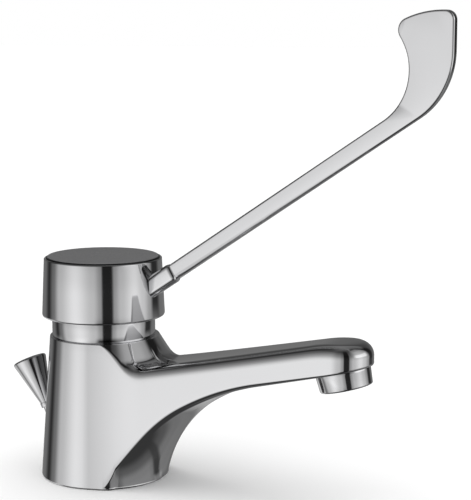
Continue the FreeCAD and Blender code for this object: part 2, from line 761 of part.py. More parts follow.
spindle_eye = doc.addObject("Part::Cylinder", "spindle_eye")
lean(spindle_eye, FreeCAD.Vector(1, 0, 0), "90deg")
bind(spindle_eye, Radius="spindle_square / 2", Height="spindle_square",
     Base_y="spindle_square / 2", Base_z="pivot_height")
spindle_post = box("spindle_post", "spindle_square", "spindle_square", SPINDLE_TOP + " - pivot_height",
                   "0 - spindle_square / 2", "0 - spindle_square / 2", "pivot_height")
spindle_arm = leaning_cylinder("spindle_arm", "arm_rad", ("0", "pivot_height"), ("0 - " + ARM_X, BALL_Z))
spindle_ball = doc.addObject("Part::Sphere", "spindle_ball")
bind(spindle_ball, Radius="ball_rad", Base_x="0 - " + ARM_X, Base_z=BALL_Z)
spindle_bore = doc.addObject("Part::Cylinder", "spindle_bore")
lean(spindle_bore, FreeCAD.Vector(1, 0, 0), "90deg")
bind(spindle_bore, Radius="pin_rad + pin_clear", Height="spindle_square + past * 2",
     Base_y="spindle_square / 2 + past", Base_z="pivot_height")
spindle_blank = joined("spindle_blank", [spindle_eye, spindle_post, spindle_arm, spindle_ball])
spindle = cut("spindle", spindle_blank, [
    spindle_bore,
    cylinder("spindle_tapping", "screw_rad", "screw_length + past * 2",
             z=SCREW_HEAD_Z + " - screw_length - past"),
])

# Cap of the handle, with the boss that holds the lever

cap_blank = turned("cap_blank", [
    ("0", "cap_bottom"),
    ("cap_bottom_rad - cap_edge", "cap_bottom"),
    ("cap_bottom_rad", "cap_bottom + cap_edge"),
    ("cap_top_rad", "cap_rim - cap_edge"),
    ("cap_top_rad - cap_edge", "cap_rim"),
    ("0", "cap_rim"),
])
COS_LEVER = "cos(lever_angle * 1deg)"
SIN_LEVER = "sin(lever_angle * 1deg)"


def along_lever(distance, side="0"):
    """A point out along the lever's middle line, and square to it."""
    x = "(%s) * %s - (%s) * %s" % (distance, COS_LEVER, side, SIN_LEVER)
    z = "lever_root_height + (%s) * %s + (%s) * %s" % (distance, SIN_LEVER, side, COS_LEVER)
    return x, z


def along_boss(shape, edge):
    """Picks the long edges of the boss."""
    ends = [vertex.Point for vertex in edge.Vertexes]
    return abs(ends[0].z - ends[-1].z) > CLOSE


def at_boss_end(shape, edge):
    """Picks the rim of the boss's outer end."""
    return all(abs(vertex.Point.z - value("boss_end")) < CLOSE for vertex in edge.Vertexes)


boss_bar = doc.addObject("PartDesign::Body", "boss_bar")
boss_plan = new_sketch(boss_bar, "boss_plan", "XY_Plane")
boss_plan.setExpression("AttachmentOffset.Base.z", tied("boss_start"))
outline(boss_plan, [
    ("0 - boss_half", "0 - boss_side"),
    ("boss_half", "0 - boss_side"),
    ("boss_half", "boss_side"),
    ("0 - boss_half", "boss_side"),
])
boss_pad = boss_bar.newObject("PartDesign::Pad", "boss_pad")
boss_pad.Profile = boss_plan
bind(boss_pad, Length="boss_end - boss_start")
rounded(boss_bar, "boss_corners", "boss_corner", along_boss)
rounded(boss_bar, "boss_rim", "boss_edge", at_boss_end)
lean(boss_bar, Y_AXIS, "90deg - lever_angle * 1deg")
bind(boss_bar, Base_z="lever_root_height")
cavity = turned("cap_cavity", [
    ("0", "cap_bottom - past"),
    ("cap_bottom_rad - cap_wall", "cap_bottom - past"),
    ("cap_top_rad - cap_wall", PLATE_LOW),
    ("socket_rad", PLATE_LOW),
    ("socket_rad", PLATE_LOW + " - socket_depth"),
    ("0", PLATE_LOW + " - socket_depth"),
])
mortise = box("mortise", "boss_end - lever_start + past * 2", "lever_thick + mortise_clear * 2",
              "lever_depth + mortise_clear * 2", "0", "0", "0")
mortise_x, mortise_z = along_lever("lever_start - mortise_clear", "0 - lever_depth / 2 - mortise_clear")
lean(mortise, Y_AXIS, "-1deg * lever_angle")
bind(mortise, Base_x=mortise_x, Base_y="0 - lever_thick / 2 - mortise_clear", Base_z=mortise_z)


def lever_pin_shape(name, radius):
    """The cross pin in the boss and the lever's root, driven in from the far side."""
    pin = doc.addObject("Part::Cylinder", name)
    lean(pin, FreeCAD.Vector(1, 0, 0), "90deg")
    x, z = along_lever("lever_pin_at")
    return bind(pin, Radius=radius, Height="boss_side * 2 - lever_pin_sunk - lever_pin_skin",
                Base_x=x, Base_y="boss_side - lever_pin_sunk", Base_z=z)


handle_cap = cut("handle_cap", joined("cap_with_boss", [cap_blank, boss_bar]), [
    cavity,
    cylinder("cover_recess", "cover_rad + cover_clear", "cover_sunk + past * 2", z="cap_rim - cover_sunk"),
    cylinder("screw_recess", "screw_head_rad + screw_clear", "screw_head + past * 2", z=SCREW_HEAD_Z),
    cylinder("screw_way", "screw_rad + screw_clear", "cap_rim - " + SPINDLE_TOP, z=SPINDLE_TOP),
    box("square_socket", "spindle_square + socket_clear * 2", "spindle_square + socket_clear * 2",
        "socket_depth - spindle_gap + socket_clear + past",
        "0 - spindle_square / 2 - socket_clear", "0 - spindle_square / 2 - socket_clear",
        PLATE_LOW + " - socket_depth - past"),
    mortise,
    lever_pin_shape("lever_pin_way", "lever_pin_rad"),
])

screw_shank = cylinder("screw_shank", "screw_rad - screw_clear", "screw_length + past",
                       z=SCREW_HEAD_Z + " - screw_length")
screw_top = cylinder("screw_top", "screw_head_rad", "screw_head - screw_clear", z=SCREW_HEAD_Z)
screw_key = doc.addObject("Part::Prism", "screw_key")
screw_key.Polygon = 6
bind(screw_key, Circumradius="screw_socket / 2 / cos(30deg)", Height="screw_head",
     Base_z=SCREW_HEAD_Z + " + screw_socket_floor")
handle_screw = cut("handle_screw", joined("screw_blank", [screw_shank, screw_top]), [screw_key])

COVER_Z = "(cap_rim - cover_sunk)"
top_cover = turned("top_cover", [
    ("0", COVER_Z),
    ("cover_rad", COVER_Z),
    ("cover_rad", COVER_Z + " + cover_thick"),
    ("0", COVER_Z + " + cover_thick"),
])
rounded(top_cover, "top_cover_edge", "cover_edge", at_circle("cover_rad", COVER_Z + " + cover_thick"))

# Elbow lever, a flat bar that bends up into a broad paddle

TAN_LEVER = "tan(lever_angle * 1deg)"
OUTER_X = "(paddle_front - outer_bend)"
OUTER_Z = ("(lever_root_height - lever_depth / 2 / %s + %s * %s + outer_bend / %s)"
           % (COS_LEVER, TAN_LEVER, OUTER_X, COS_LEVER))
INNER_X = "(paddle_waist - inner_bend)"
INNER_Z = ("(lever_root_height + lever_depth / 2 / %s + %s * %s + inner_bend / %s)"
           % (COS_LEVER, TAN_LEVER, INNER_X, COS_LEVER))
PADDLE_BACK = ("%s + inner_bend * cos(paddle_flare * 1deg)" % INNER_X,
               "%s + inner_bend * sin(paddle_flare * 1deg)" % INNER_Z)
PADDLE_FRONT = ("paddle_front", OUTER_Z + " + paddle_front_edge")
lever_blade = doc.addObject("PartDesign::Body", "lever_blade")
lever_face = new_sketch(lever_blade, "lever_face", "XZ_Plane")
outline(lever_face, [
    along_lever("lever_start", "0 - lever_depth / 2"),
    ("%s + outer_bend * %s" % (OUTER_X, SIN_LEVER), "%s - outer_bend * %s" % (OUTER_Z, COS_LEVER),
     "outer_bend", 1),
    ("paddle_front", OUTER_Z),
    PADDLE_FRONT + ("paddle_crown", 1),
    PADDLE_BACK + ("inner_bend", -1),
    ("%s + inner_bend * %s" % (INNER_X, SIN_LEVER), "%s - inner_bend * %s" % (INNER_Z, COS_LEVER)),
    along_lever("lever_start", "lever_depth / 2"),
])
lever_plate = lever_blade.newObject("PartDesign::Pad", "lever_plate")
lever_plate.Profile = lever_face
lever_plate.Midplane = True
bind(lever_plate, Length="lever_thick")


def upright_at(x, z):
    """Picks the edge across the plate that stands at a point of the outline."""
    wanted = FreeCAD.Vector(value(x), 0, value(z))

    def pick(shape, edge):
        return (edge.CenterOfMass - wanted).Length < CLOSE

    return pick


def plate_rim(shape, edge):
    """Picks the rim of both faces of the lever, beyond the boss."""
    half = value("lever_thick / 2")
    ends = [vertex.Point for vertex in edge.Vertexes]
    on_face = all(abs(abs(point.y) - half) < CLOSE for point in ends)
    one_face = abs(ends[0].y - ends[-1].y) < CLOSE
    outside = value("lever_start * %s + lever_depth" % COS_LEVER)
    return on_face and one_face and edge.CenterOfMass.x > outside


rounded(lever_blade, "paddle_back_round", "paddle_back_corner", upright_at(*PADDLE_BACK))
rounded(lever_blade, "paddle_front_round", "paddle_front_corner", upright_at(*PADDLE_FRONT))
rounded(lever_blade, "lever_rim", "lever_edge", plate_rim)
pin_x, pin_z = along_lever("lever_pin_at")
lever_bore = new_sketch(lever_blade, "lever_bore_circle", "XZ_Plane")
lever_bore.addGeometry(Part.Circle(FreeCAD.Vector(value(pin_x), value(pin_z), 0), Z_AXIS,
                                   value("lever_pin_rad")), False)
for number, constraint, text in (
        (0, Sketcher.Constraint("DistanceX", 0, 3, value(pin_x)), pin_x),
        (1, Sketcher.Constraint("DistanceY", 0, 3, value(pin_z)), pin_z),
        (2, Sketcher.Constraint("Radius", 0, value("lever_pin_rad")), "lever_pin_rad")):
    lever_bore.addConstraint(constraint)
    lever_bore.setExpression("Constraints[%d]" % number, tied(text))
lever_hole = lever_blade.newObject("PartDesign::Pocket", "lever_hole")
lever_hole.Profile = lever_bore
lever_hole.Midplane = True
lever_hole.Type = "ThroughAll"
lever_pin = lever_pin_shape("lever_pin", "lever_pin_rad")

# Aerator, screwed into the nose; its own zero is at the seat

aerator_housing = on_aerator(turned("aerator_housing", [
    ("aerator_lip_rad", "0 - aerator_skirt"),
    ("aerator_tip_rad - aerator_tip_edge", "0 - aerator_skirt"),
    ("aerator_tip_rad", "aerator_tip_edge - aerator_skirt"),
    ("aerator_rad", "0 - aerator_collar"),
    ("aerator_rad", "0"),
    ("aerator_thread_rad", "0"),
    ("aerator_thread_rad", "aerator_thread_length"),
    ("aerator_bore_rad", "aerator_thread_length"),
    ("aerator_bore_rad", "aerator_lip - aerator_skirt"),
    ("aerator_lip_rad", "aerator_lip - aerator_skirt"),
]), "aerator_seat")
insert_blank = cylinder("insert_blank", "aerator_bore_rad - insert_clear", "insert_height")
insert_holes = []
for ring, count in enumerate((1, 6, 12)):
    for step in range(count):
        angle = "%s * 1deg" % (360.0 * step / count)
        hole = cylinder("insert_hole_%d_%d" % (ring, step), "insert_hole_rad", "insert_height + past * 2",
                        x="insert_pitch * %d * cos(%s)" % (ring, angle),
                        y="insert_pitch * %d * sin(%s)" % (ring, angle), z="0 - past")
        insert_holes.append(hole)
aerator_insert = on_aerator(cut("aerator_insert", insert_blank, insert_holes),
                            "aerator_seat + aerator_lip - aerator_skirt")
aerator_washer = on_aerator(turned("aerator_washer", [
    ("washer_hole_rad", "0"),
    ("aerator_thread_rad - washer_clear", "0"),
    ("aerator_thread_rad - washer_clear", "washer_thick"),
    ("washer_hole_rad", "washer_thick"),
]), "aerator_seat + aerator_thread_length")

# Pull rod of the pop-up waste with its knob; distances run up from the rod's lower end

popup_rod = on_rod(cylinder("popup_rod", "rod_rad", "knob_at + knob_bore"))
locknut_blank = on_rod(cylinder("locknut_blank", "locknut_rad", "locknut_height"),
                       "knob_at - locknut_height")
locknut_hole = on_rod(cylinder("locknut_hole", "rod_rad", "locknut_height + past * 2"),
                      "knob_at - locknut_height - past")
knob_locknut = cut("knob_locknut", locknut_blank, [locknut_hole])
knob_turn = turned("knob_turn", [
    ("rod_rad", "0"),
    ("knob_tip_rad", "0"),
    ("knob_top_rad", "knob_length - knob_edge", "knob_edge", 1),
    ("knob_top_rad - knob_edge", "knob_length"),
    ("0", "knob_length + knob_dome"),
    ("0", "knob_bore"),
    ("rod_rad", "knob_bore"),
])
popup_knob = on_rod(knob_turn, "knob_at")
popup_knob.Label = "popup_knob"
rod_bush = cut("rod_bush", leaning_cylinder("bush_blank", "bush_rad", along_rod("bush_low"),
                                            along_rod("bush_high")), [
    leaning_cylinder("bush_bore", "rod_rad + bush_clear", along_rod("bush_low - past"),
                     along_rod("bush_high + past")),
])

NODES = [
    body_casting, base_gasket, collar_ring, cartridge_nut, cartridge_housing, cartridge_foot, port_seals,
    fixed_disc, moving_disc, disc_carrier, rotor, rotor_seal, spindle_pin, spindle, handle_cap,
    handle_screw, top_cover, lever_blade, lever_pin, aerator_housing, aerator_insert, aerator_washer,
    popup_rod, popup_knob, knob_locknut, rod_bush,
]

doc.recompute()

for item in doc.Objects:
    if "Invalid" in item.State or "Error" in item.State:
        raise RuntimeError("%s failed: %s" % (item.Label, item.State))
for node in NODES:
    if node.Shape.isNull() or not node.Shape.isValid():
        raise RuntimeError("%s has no valid shape" % node.Label)

os.makedirs("parts", exist_ok=True)
for node in NODES:
    node.Shape.exportStep(os.path.join("parts", node.Label + ".step"))
    extent = node.Shape.BoundBox
    print("%-18s %9.1f mm3, %d solid, %6.1f to %6.1f high" % (
        node.Label, node.Shape.Volume, len(node.Shape.Solids), extent.ZMin, extent.ZMax))
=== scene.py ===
# %% [markdown]
# # A lever mixer tap in bright chrome
# The tap is a hand's height of polished metal: a cone that stands on the basin, a drop-shaped spout,
# a short round cap that is the handle, and a long flat elbow lever that ends in a paddle.
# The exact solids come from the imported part. This lesson models the outer pieces again with smooth
# surfaces and rounded edges, and adds finishes and a studio, so that the tap looks as it does when it
# is photographed. Sizes in the cells are millimetres, because taps are drawn in them, and MM turns
# them into Blender's metres.

# %% Load the solids and keep their size
import math

import bpy
from mathutils import Matrix, Vector


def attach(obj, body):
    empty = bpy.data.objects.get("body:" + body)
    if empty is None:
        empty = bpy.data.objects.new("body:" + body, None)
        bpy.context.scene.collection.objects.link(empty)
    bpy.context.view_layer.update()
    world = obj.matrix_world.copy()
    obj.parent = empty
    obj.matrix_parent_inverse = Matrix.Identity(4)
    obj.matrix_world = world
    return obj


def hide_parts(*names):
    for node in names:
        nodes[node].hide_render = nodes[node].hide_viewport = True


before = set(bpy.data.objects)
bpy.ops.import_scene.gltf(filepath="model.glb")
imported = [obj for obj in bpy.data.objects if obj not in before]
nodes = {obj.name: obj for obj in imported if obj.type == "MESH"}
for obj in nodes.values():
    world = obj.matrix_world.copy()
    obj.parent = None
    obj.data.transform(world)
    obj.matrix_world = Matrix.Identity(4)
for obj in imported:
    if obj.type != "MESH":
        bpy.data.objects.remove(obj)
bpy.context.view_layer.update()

MM = 0.001

# %% [markdown]
# Every operator works on whatever is selected, and loading leaves all the solids selected.
# So each step first lets go of everything, and then picks the one piece that it works on.

# %% Helpers that pick and let go


def let_go():
    """Leaves edit mode and deselects every object."""
    if bpy.context.object and bpy.context.object.mode != "OBJECT":
        bpy.ops.object.mode_set(mode="OBJECT")
    bpy.ops.object.select_all(action="DESELECT")


def pick(piece):
    """Makes one object the selected and active one."""
    let_go()
    piece.select_set(True)
    bpy.context.view_layer.objects.active = piece
    return piece


def settle(piece):
    """Puts the object's place into its mesh, so that the object sits at the origin."""
    pick(piece)
    bpy.ops.object.transform_apply(location=True, rotation=True, scale=True)
    return piece


def apply_modifier(piece, kind, **settings):
    """Adds a modifier, sets it and applies it."""
    pick(piece)
    bpy.ops.object.modifier_add(type=kind)
    modifier = piece.modifiers[-1]
    for name, number in settings.items():
        setattr(modifier, name, number)
    bpy.ops.object.modifier_apply(modifier=modifier.name)
    return piece


def tell(piece):
    """Prints a piece's name, its faces and its extent in millimetres."""
    corners = [vertex.co for vertex in piece.data.vertices]
    low = [min(corner[axis] for corner in corners) / MM for axis in range(3)]
    high = [max(corner[axis] for corner in corners) / MM for axis in range(3)]
    print("%-14s %6d faces, from %s to %s mm" % (
        piece.name, len(piece.data.polygons), [round(v, 1) for v in low], [round(v, 1) for v in high]))


def lean_over(piece, degrees, x, z):
    """Leans a piece's top towards +X, and then moves its zero to a place in the middle plane."""
    pick(piece)
    bpy.ops.transform.rotate(value=math.radians(-degrees), orient_axis="Y", center_override=(0, 0, 0))
    bpy.ops.transform.translate(value=(x * MM, 0, z * MM))
    settle(piece)
    tell(piece)
    return piece


print("helpers ready")

# %% [markdown]
# The lever is a flat plate, cut to a curved outline with a paddle at its end. It could be drawn again as
# an outline and extruded, but its solid already has that outline and its rounded edges. Only the mesh
# of the solid won't do: it is loose triangles, each with its own corners, so every triangle would show
# in the chrome. So a copy of the mesh is merged at its corners and shaded smooth up to a limit angle,
# which keeps the true edges crisp.

# %% A smooth skin over the lever's solid
SKIN_ANGLE = math.radians(24)
WELD = 0.002 * MM


def skin(node_name, piece_name):
    """A smooth copy of a solid, merged at its corners."""
    let_go()
    piece = nodes[node_name].copy()
    piece.data = nodes[node_name].data.copy()
    piece.parent = None
    piece.matrix_world = Matrix.Identity(4)
    piece.name = piece_name
    bpy.context.scene.collection.objects.link(piece)
    pick(piece)
    bpy.ops.object.mode_set(mode="EDIT")
    bpy.ops.mesh.select_all(action="SELECT")
    bpy.ops.mesh.remove_doubles(threshold=WELD)
    bpy.ops.object.mode_set(mode="OBJECT")
    bpy.ops.object.shade_smooth_by_angle(angle=SKIN_ANGLE)
    tell(piece)
    return piece


blade = skin("lever_blade", "blade")

# %% [markdown]
# ## The casting
# Column and spout are one casting. Its walls are a cone that runs over into the flat sides of a drop,
# its top is a slope that sweeps up to the shoulder in a bowl, and its underside is a long arc. Top and
# underside are both turned about the column's middle, so a height for each distance from the middle
# says all about them. A box with subdivided faces could be pulled into this shape, but a mirror finish
# shows the smallest dent. So a grid is wrapped round one half of the casting like a sheet of paper:
# each column of the grid is one cut through the wall, from the chamber inside, over the top, down the
# wall, under the spout and up into the hollow foot. A mirror modifier then makes the other half.

# %% Heights of the top and the underside, in millimetres
FOOT_RAD, SHOULDER_RAD, COLUMN_TOP, FOOT_EDGE = 29.3, 24.6, 65.2, 0.8
TOP_SLOPE, UNDER_SLOPE = math.radians(12.5), math.radians(14)
FLARE_START, FLARE_SLOPE, BOWL_RAD = 25.4, math.radians(58), 4.5
SLOPE_BASE, CROWN_START, CROWN_RAD = 48.4, 111.0, 64.0
CROWN_RISE = 12.0
CORNER = ((COLUMN_TOP + math.tan(FLARE_SLOPE) * FLARE_START - SLOPE_BASE)
          / (math.tan(FLARE_SLOPE) + math.tan(TOP_SLOPE)))
CORNER_REACH = BOWL_RAD * math.tan((FLARE_SLOPE + TOP_SLOPE) / 2)
BOWL_START = CORNER - CORNER_REACH * math.cos(FLARE_SLOPE)
BOWL_END = CORNER + CORNER_REACH * math.cos(TOP_SLOPE)
BOWL_X = BOWL_END - BOWL_RAD * math.sin(TOP_SLOPE)
BOWL_Z = SLOPE_BASE + BOWL_END * math.tan(TOP_SLOPE) + BOWL_RAD * math.cos(TOP_SLOPE)
CROWN_X = CROWN_START + CROWN_RAD * math.sin(TOP_SLOPE)
CROWN_Z = SLOPE_BASE + CROWN_START * math.tan(TOP_SLOPE) - CROWN_RAD * math.cos(TOP_SLOPE)
UNDER_START, UNDER_LEAN, UNDER_TURN = 29.0, math.radians(10), math.radians(33)
UNDER_RAD, UNDER_LONG_RAD, UNDER_HEIGHT = 58.0, 114.43, 31.4
UNDER_X = UNDER_START + UNDER_RAD * math.cos(UNDER_LEAN)
UNDER_Z = -UNDER_RAD * math.sin(UNDER_LEAN)
TURN_X = UNDER_X - UNDER_RAD * math.sin(UNDER_TURN)
LONG_X = TURN_X + UNDER_LONG_RAD * math.sin(UNDER_TURN)
LONG_Z = UNDER_Z + (UNDER_RAD - UNDER_LONG_RAD) * math.cos(UNDER_TURN)
LONG_END = LONG_X - UNDER_LONG_RAD * math.sin(UNDER_SLOPE)


def arc_height(reach, middle, base, radius, sign=1):
    """Height of a circle's upper (or lower) side at a distance from the column's middle."""
    return base + sign * math.sqrt(max(radius ** 2 - (reach - middle) ** 2, 0))


def top_height(reach):
    """Height of the casting's top."""
    if reach <= FLARE_START:
        return COLUMN_TOP
    if reach < BOWL_START:
        return COLUMN_TOP - (reach - FLARE_START) * math.tan(FLARE_SLOPE)
    if reach < BOWL_END:
        return arc_height(reach, BOWL_X, BOWL_Z, BOWL_RAD, -1)
    if reach < CROWN_START:
        return SLOPE_BASE + reach * math.tan(TOP_SLOPE)
    return arc_height(reach, CROWN_X, CROWN_Z, CROWN_RAD)


def under_height(reach):
    """Height of the spout's underside."""
    if reach < TURN_X:
        return arc_height(reach, UNDER_X, UNDER_Z, UNDER_RAD)
    if reach < LONG_END:
        return arc_height(reach, LONG_X, LONG_Z, UNDER_LONG_RAD)
    return UNDER_HEIGHT + reach * math.tan(UNDER_SLOPE)


print("top at 60 mm:", round(top_height(60), 2), "underside at 60 mm:", round(under_height(60), 2))

# %% [markdown]
# Seen from above, the casting is a drop: a circle round the column, flat sides that draw together, and
# a small circle round the nose. Between column and side runs a soft hollow. Such a plan could be drawn
# as a curve and extruded, but the walls lean inwards as they rise. So the distance of the wall is
# worked out from the direction and the height, and each part of the drop answers for its directions.

# %% How far the wall is from the column's middle, in each direction
WALL_INSET, NOSE_REACH, NOSE_RAD, BLEND_RAD = 4.0, 121.0, 13.5, 100.0
TURN_STEP = 2e-4


def cone_radius(height):
    """Radius of the column."""
    return FOOT_RAD - (FOOT_RAD - SHOULDER_RAD) * (height - FOOT_EDGE) / (COLUMN_TOP - FOOT_EDGE)


def flat_wall(height):
    """The flat side of the spout: its distance from the column's middle, and the direction it faces."""
    reach = cone_radius(height) - WALL_INSET
    return reach, math.asin((reach - NOSE_RAD) / NOSE_REACH)


def wall_reach(turn, height):
    """Distance of the wall at a direction; a turn of 0 looks to the near side, a quarter to the nose."""
    radius = cone_radius(height)
    flat, lean = flat_wall(height)
    off = turn - lean
    side = flat + BLEND_RAD
    along = math.sqrt((radius + BLEND_RAD) ** 2 - side ** 2)
    if off <= math.atan2(along, side):
        return radius
    if off < math.atan2(along, flat):
        across = math.sin(off) * along + math.cos(off) * side
        return across - math.sqrt(across ** 2 - (along ** 2 + side ** 2 - BLEND_RAD ** 2))
    reach = flat / math.cos(off)
    if reach * math.sin(turn) <= NOSE_REACH + NOSE_RAD * math.sin(lean):
        return reach
    across = NOSE_REACH * math.sin(turn)
    return across + math.sqrt(max(across ** 2 - NOSE_REACH ** 2 + NOSE_RAD ** 2, 0))


def plan_point(turn, reach):
    """A place in the plan."""
    return Vector((reach * math.sin(turn), -reach * math.cos(turn)))


def wall_point(turn, height):
    """A place on the wall, in the plan."""
    return plan_point(turn, wall_reach(turn, height))


def inward(turn, height):
    """The direction square to the wall, towards the inside."""
    low, high = max(turn - TURN_STEP, -math.pi / 2), min(turn + TURN_STEP, math.pi / 2)
    way = wall_point(high, height) - wall_point(low, height)
    return Vector((-way.y, way.x)).normalized()


print("wall at 60 degrees:", round(wall_reach(math.radians(60), 30), 2))

# %% [markdown]
# The spout has rounded rims: a full one along its top, and one underneath that is wide at the root and
# narrow at the nose. A bevel modifier rounds an edge by the same width everywhere, and folds where the
# bowl is tight. So each cut gets its own arc: a ball is rolled up under the edge until it touches both
# the wall and the surface, and the arc runs from one touching point to the other.

# %% Rounded rims, drawn as arcs that touch the wall and the surface
RIM_ROWS, WALL_ROWS, SPAN_ROWS, LEDGE_ROWS = 10, 16, 26, 3
TOP_EDGE, RING_EDGE, ROOT_EDGE, NOSE_EDGE = 5.6, 0.3, 4.6, 1.3
SLIGHT, BALL_STEPS = 0.15, 20
HALVINGS, BALL_HALVINGS, BALL_ROUNDS, BALL_ZOOM = 40, 24, 3, 2.5


def meeting_height(turn, surface):
    """Height at which the wall meets the top or the underside."""
    low, high = 0.0, COLUMN_TOP + CROWN_RISE
    for _ in range(HALVINGS):
        middle = (low + high) / 2
        if surface(wall_reach(turn, middle)) > middle:
            low = middle
        else:
            high = middle
    return (low + high) / 2


def rim(turn, surface, radius, sign):
    """Rows of a rounded rim, from the surface to the wall; the sign is 1 on top and -1 underneath."""
    height = meeting_height(turn, surface)
    place, way = wall_point(turn, height), inward(turn, height)
    draft = (wall_point(turn, height + 1) - wall_point(turn, height - 1)).dot(way) / 2
    inside = Vector((1, -draft)).normalized()

    def at(distance):
        return surface((place + way * distance).length)

    def ball(drop):
        """A ball that touches the wall, with its smallest gap to the surface and where that gap is."""
        middle = Vector((-sign * draft * drop, height - sign * drop)) + inside * radius
        centre, half = 0.0, radius
        for _ in range(BALL_ROUNDS):
            gaps = []
            for step in range(BALL_STEPS + 1):
                across = max(min(centre + (step / BALL_STEPS * 2 - 1) * half, radius), -radius)
                room = sign * (at(middle.x + across) - middle.y)
                gaps.append((room - math.sqrt(radius ** 2 - across ** 2), across))
            centre, half = min(gaps)[1], half * BALL_ZOOM / BALL_STEPS
        return middle, min(gaps)

    low, high = 0.0, radius * 3
    for _ in range(BALL_HALVINGS):
        drop = (low + high) / 2
        if ball(drop)[1][0] < 0:
            low = drop
        else:
            high = drop
    middle, (_, across) = ball(high)
    start = math.acos(max(min(across / radius, 1), -1))
    end = math.acos(-inside.x)
    rows = []
    for row in range(RIM_ROWS + 1):
        angle = start + (end - start) * row / RIM_ROWS
        spot = place + way * (middle.x + radius * math.cos(angle))
        rows.append(Vector((spot.x, spot.y, middle.y + sign * radius * math.sin(angle))))
    return rows


print("rim rows:", RIM_ROWS, "wall rows:", WALL_ROWS)

# %% [markdown]
# One cut lists the casting's outline in one direction, always with the same number of rows, because
# every column of a grid has the same number of corners. Where the direction misses the spout, the
# rows of the underside are gathered in a narrow band above the foot, where nobody sees them.

# %% The fixed places of a cut, and its small helpers
CHAMBER = [(0.0, 30.0), (20.2, 30.0), (20.2, 57.8), (21.6, 57.8), (21.6, COLUMN_TOP)]
FOOT = [(27.9, 0.0), (27.9, 1.6), (25.7, 1.6), (25.7, 0.0), (24.4, 0.0),
        (24.4, 18.0), (0.0, 18.0)]
BAND_TOP = 1.37
BAND_REACH = cone_radius(BAND_TOP)
FAN_START = 21.6
CREASE_START, CREASE_FREE = math.radians(32), math.radians(43)
RIM_REACH = 3.0


def even_rows(surface, start, end, count):
    """Distances between two points of a surface, spaced evenly along it."""
    samples = 200
    reaches = [start + (end - start) * k / samples for k in range(samples + 1)]
    lengths = [0.0]
    for a, b in zip(reaches, reaches[1:]):
        lengths.append(lengths[-1] + math.hypot(b - a, surface(b) - surface(a)))
    rows = []
    k = 0
    for row in range(1, count + 1):
        wanted = lengths[-1] * row / count
        while k < samples - 1 and lengths[k + 1] < wanted:
            k += 1
        share = (wanted - lengths[k]) / max(lengths[k + 1] - lengths[k], 1e-9)
        rows.append(reaches[k] + (reaches[k + 1] - reaches[k]) * share)
    return rows


def bulge(turn):
    """How far the wall stands out of the foot's circle, up to where the crease leaves the ground."""
    share = (CREASE_FREE - turn) / (CREASE_FREE - CREASE_START)
    return (wall_reach(turn, FOOT_EDGE) - FOOT_RAD) * min(max(share, 0), 1)


def raised(turn, reach, height):
    """A place from a direction, a distance and a height."""
    spot = plan_point(turn, reach)
    return Vector((spot.x, spot.y, height))


def azimuth(point):
    """The direction of a place."""
    return math.atan2(point.x, -point.y)


print("even distances on the top:", [round(r, 1) for r in even_rows(top_height, FLARE_START, 60, 4)])

# %% One cut through the casting, from the chamber round to the foot


def top_rows(turn):
    """Rows of a cut from the chamber's floor to where the rounded rim touches the wall."""
    beyond = (wall_reach(turn, COLUMN_TOP) - FLARE_START) / RIM_REACH
    share = min(max(beyond, 0), 1)
    upper = rim(turn, top_height, RING_EDGE + (TOP_EDGE - RING_EDGE) * share, 1)
    way, reach = azimuth(upper[0]), math.hypot(upper[0].x, upper[0].y)
    rows = [raised(way, r, z) for r, z in CHAMBER]
    if reach > FLARE_START:
        reaches = [FAN_START + (FLARE_START - FAN_START) * k / LEDGE_ROWS
                   for k in range(1, LEDGE_ROWS + 1)]
        reaches += even_rows(top_height, FLARE_START, reach, SPAN_ROWS)[:-1]
    else:
        count = LEDGE_ROWS + SPAN_ROWS
        reaches = [FAN_START + (reach - FAN_START) * k / count for k in range(1, count)]
    return rows + [raised(way, r, top_height(r)) for r in reaches] + upper


def low_rows(turn, fade):
    """Rows of a cut from the wall's lower end to the foot; fade grows away from the spout."""
    shift = bulge(turn)

    def surface(reach):
        return under_height(reach - shift)

    if is_spout(turn):
        way = (wall_reach(turn, COLUMN_TOP / 2) - UNDER_START) / (NOSE_REACH - UNDER_START)
        share = min(max(way, 0), 1)
        lower = rim(turn, surface, ROOT_EDGE * (1 - share) + NOSE_EDGE * share, -1)[::-1]
        at_foot = azimuth(lower[-1])
        reach = math.hypot(lower[-1].x, lower[-1].y)
        span = even_rows(surface, reach, BAND_REACH + shift, SPAN_ROWS)
        rows = lower + [raised(at_foot, r, surface(r)) for r in span]
    else:
        at_foot = turn
        count = RIM_ROWS + SPAN_ROWS
        high = BAND_TOP + SLIGHT + fade
        levels = [high + (BAND_TOP - high) * k / count for k in range(count + 1)]
        rows = [raised(turn, wall_reach(turn, z), z) for z in levels]
    rows.append(raised(at_foot, FOOT_RAD + shift, FOOT_EDGE))
    rows.append(raised(at_foot, FOOT_RAD + shift - FOOT_EDGE, 0))
    return rows + [raised(at_foot, r, z) for r, z in FOOT]


def is_spout(turn):
    """Whether the wall ends at the spout's underside instead of the foot."""
    shift = bulge(turn)
    return meeting_height(turn, lambda reach: under_height(reach - shift)) > BAND_TOP + SLIGHT


def cut_through(turn, fade):
    """All the rows of the grid at one direction."""
    upper, lower = top_rows(turn), low_rows(turn, fade)
    rows = []
    for row in range(1, WALL_ROWS):
        level = upper[-1].z + (lower[0].z - upper[-1].z) * row / WALL_ROWS
        spot = wall_point(turn, level)
        rows.append(Vector((spot.x, spot.y, level)))
    return upper + rows + lower


print("spout reaches over at 60 degrees:", is_spout(math.radians(60)))

# %% [markdown]
# The cuts could stand at even angles, but the shape changes fast at the spout's root and round the
# nose, and a mirror finish shows every step there. So the cuts are close together in those places, and
# wide apart round the plain back of the column.

# %% All the cuts
BACK_STEP, ROOT_START, ROOT_STEP = 4, 14, 0.7
ROOT_CUTS, FLAT_CUTS, NOSE_CUTS = 42, 52, 22
FADE = 12


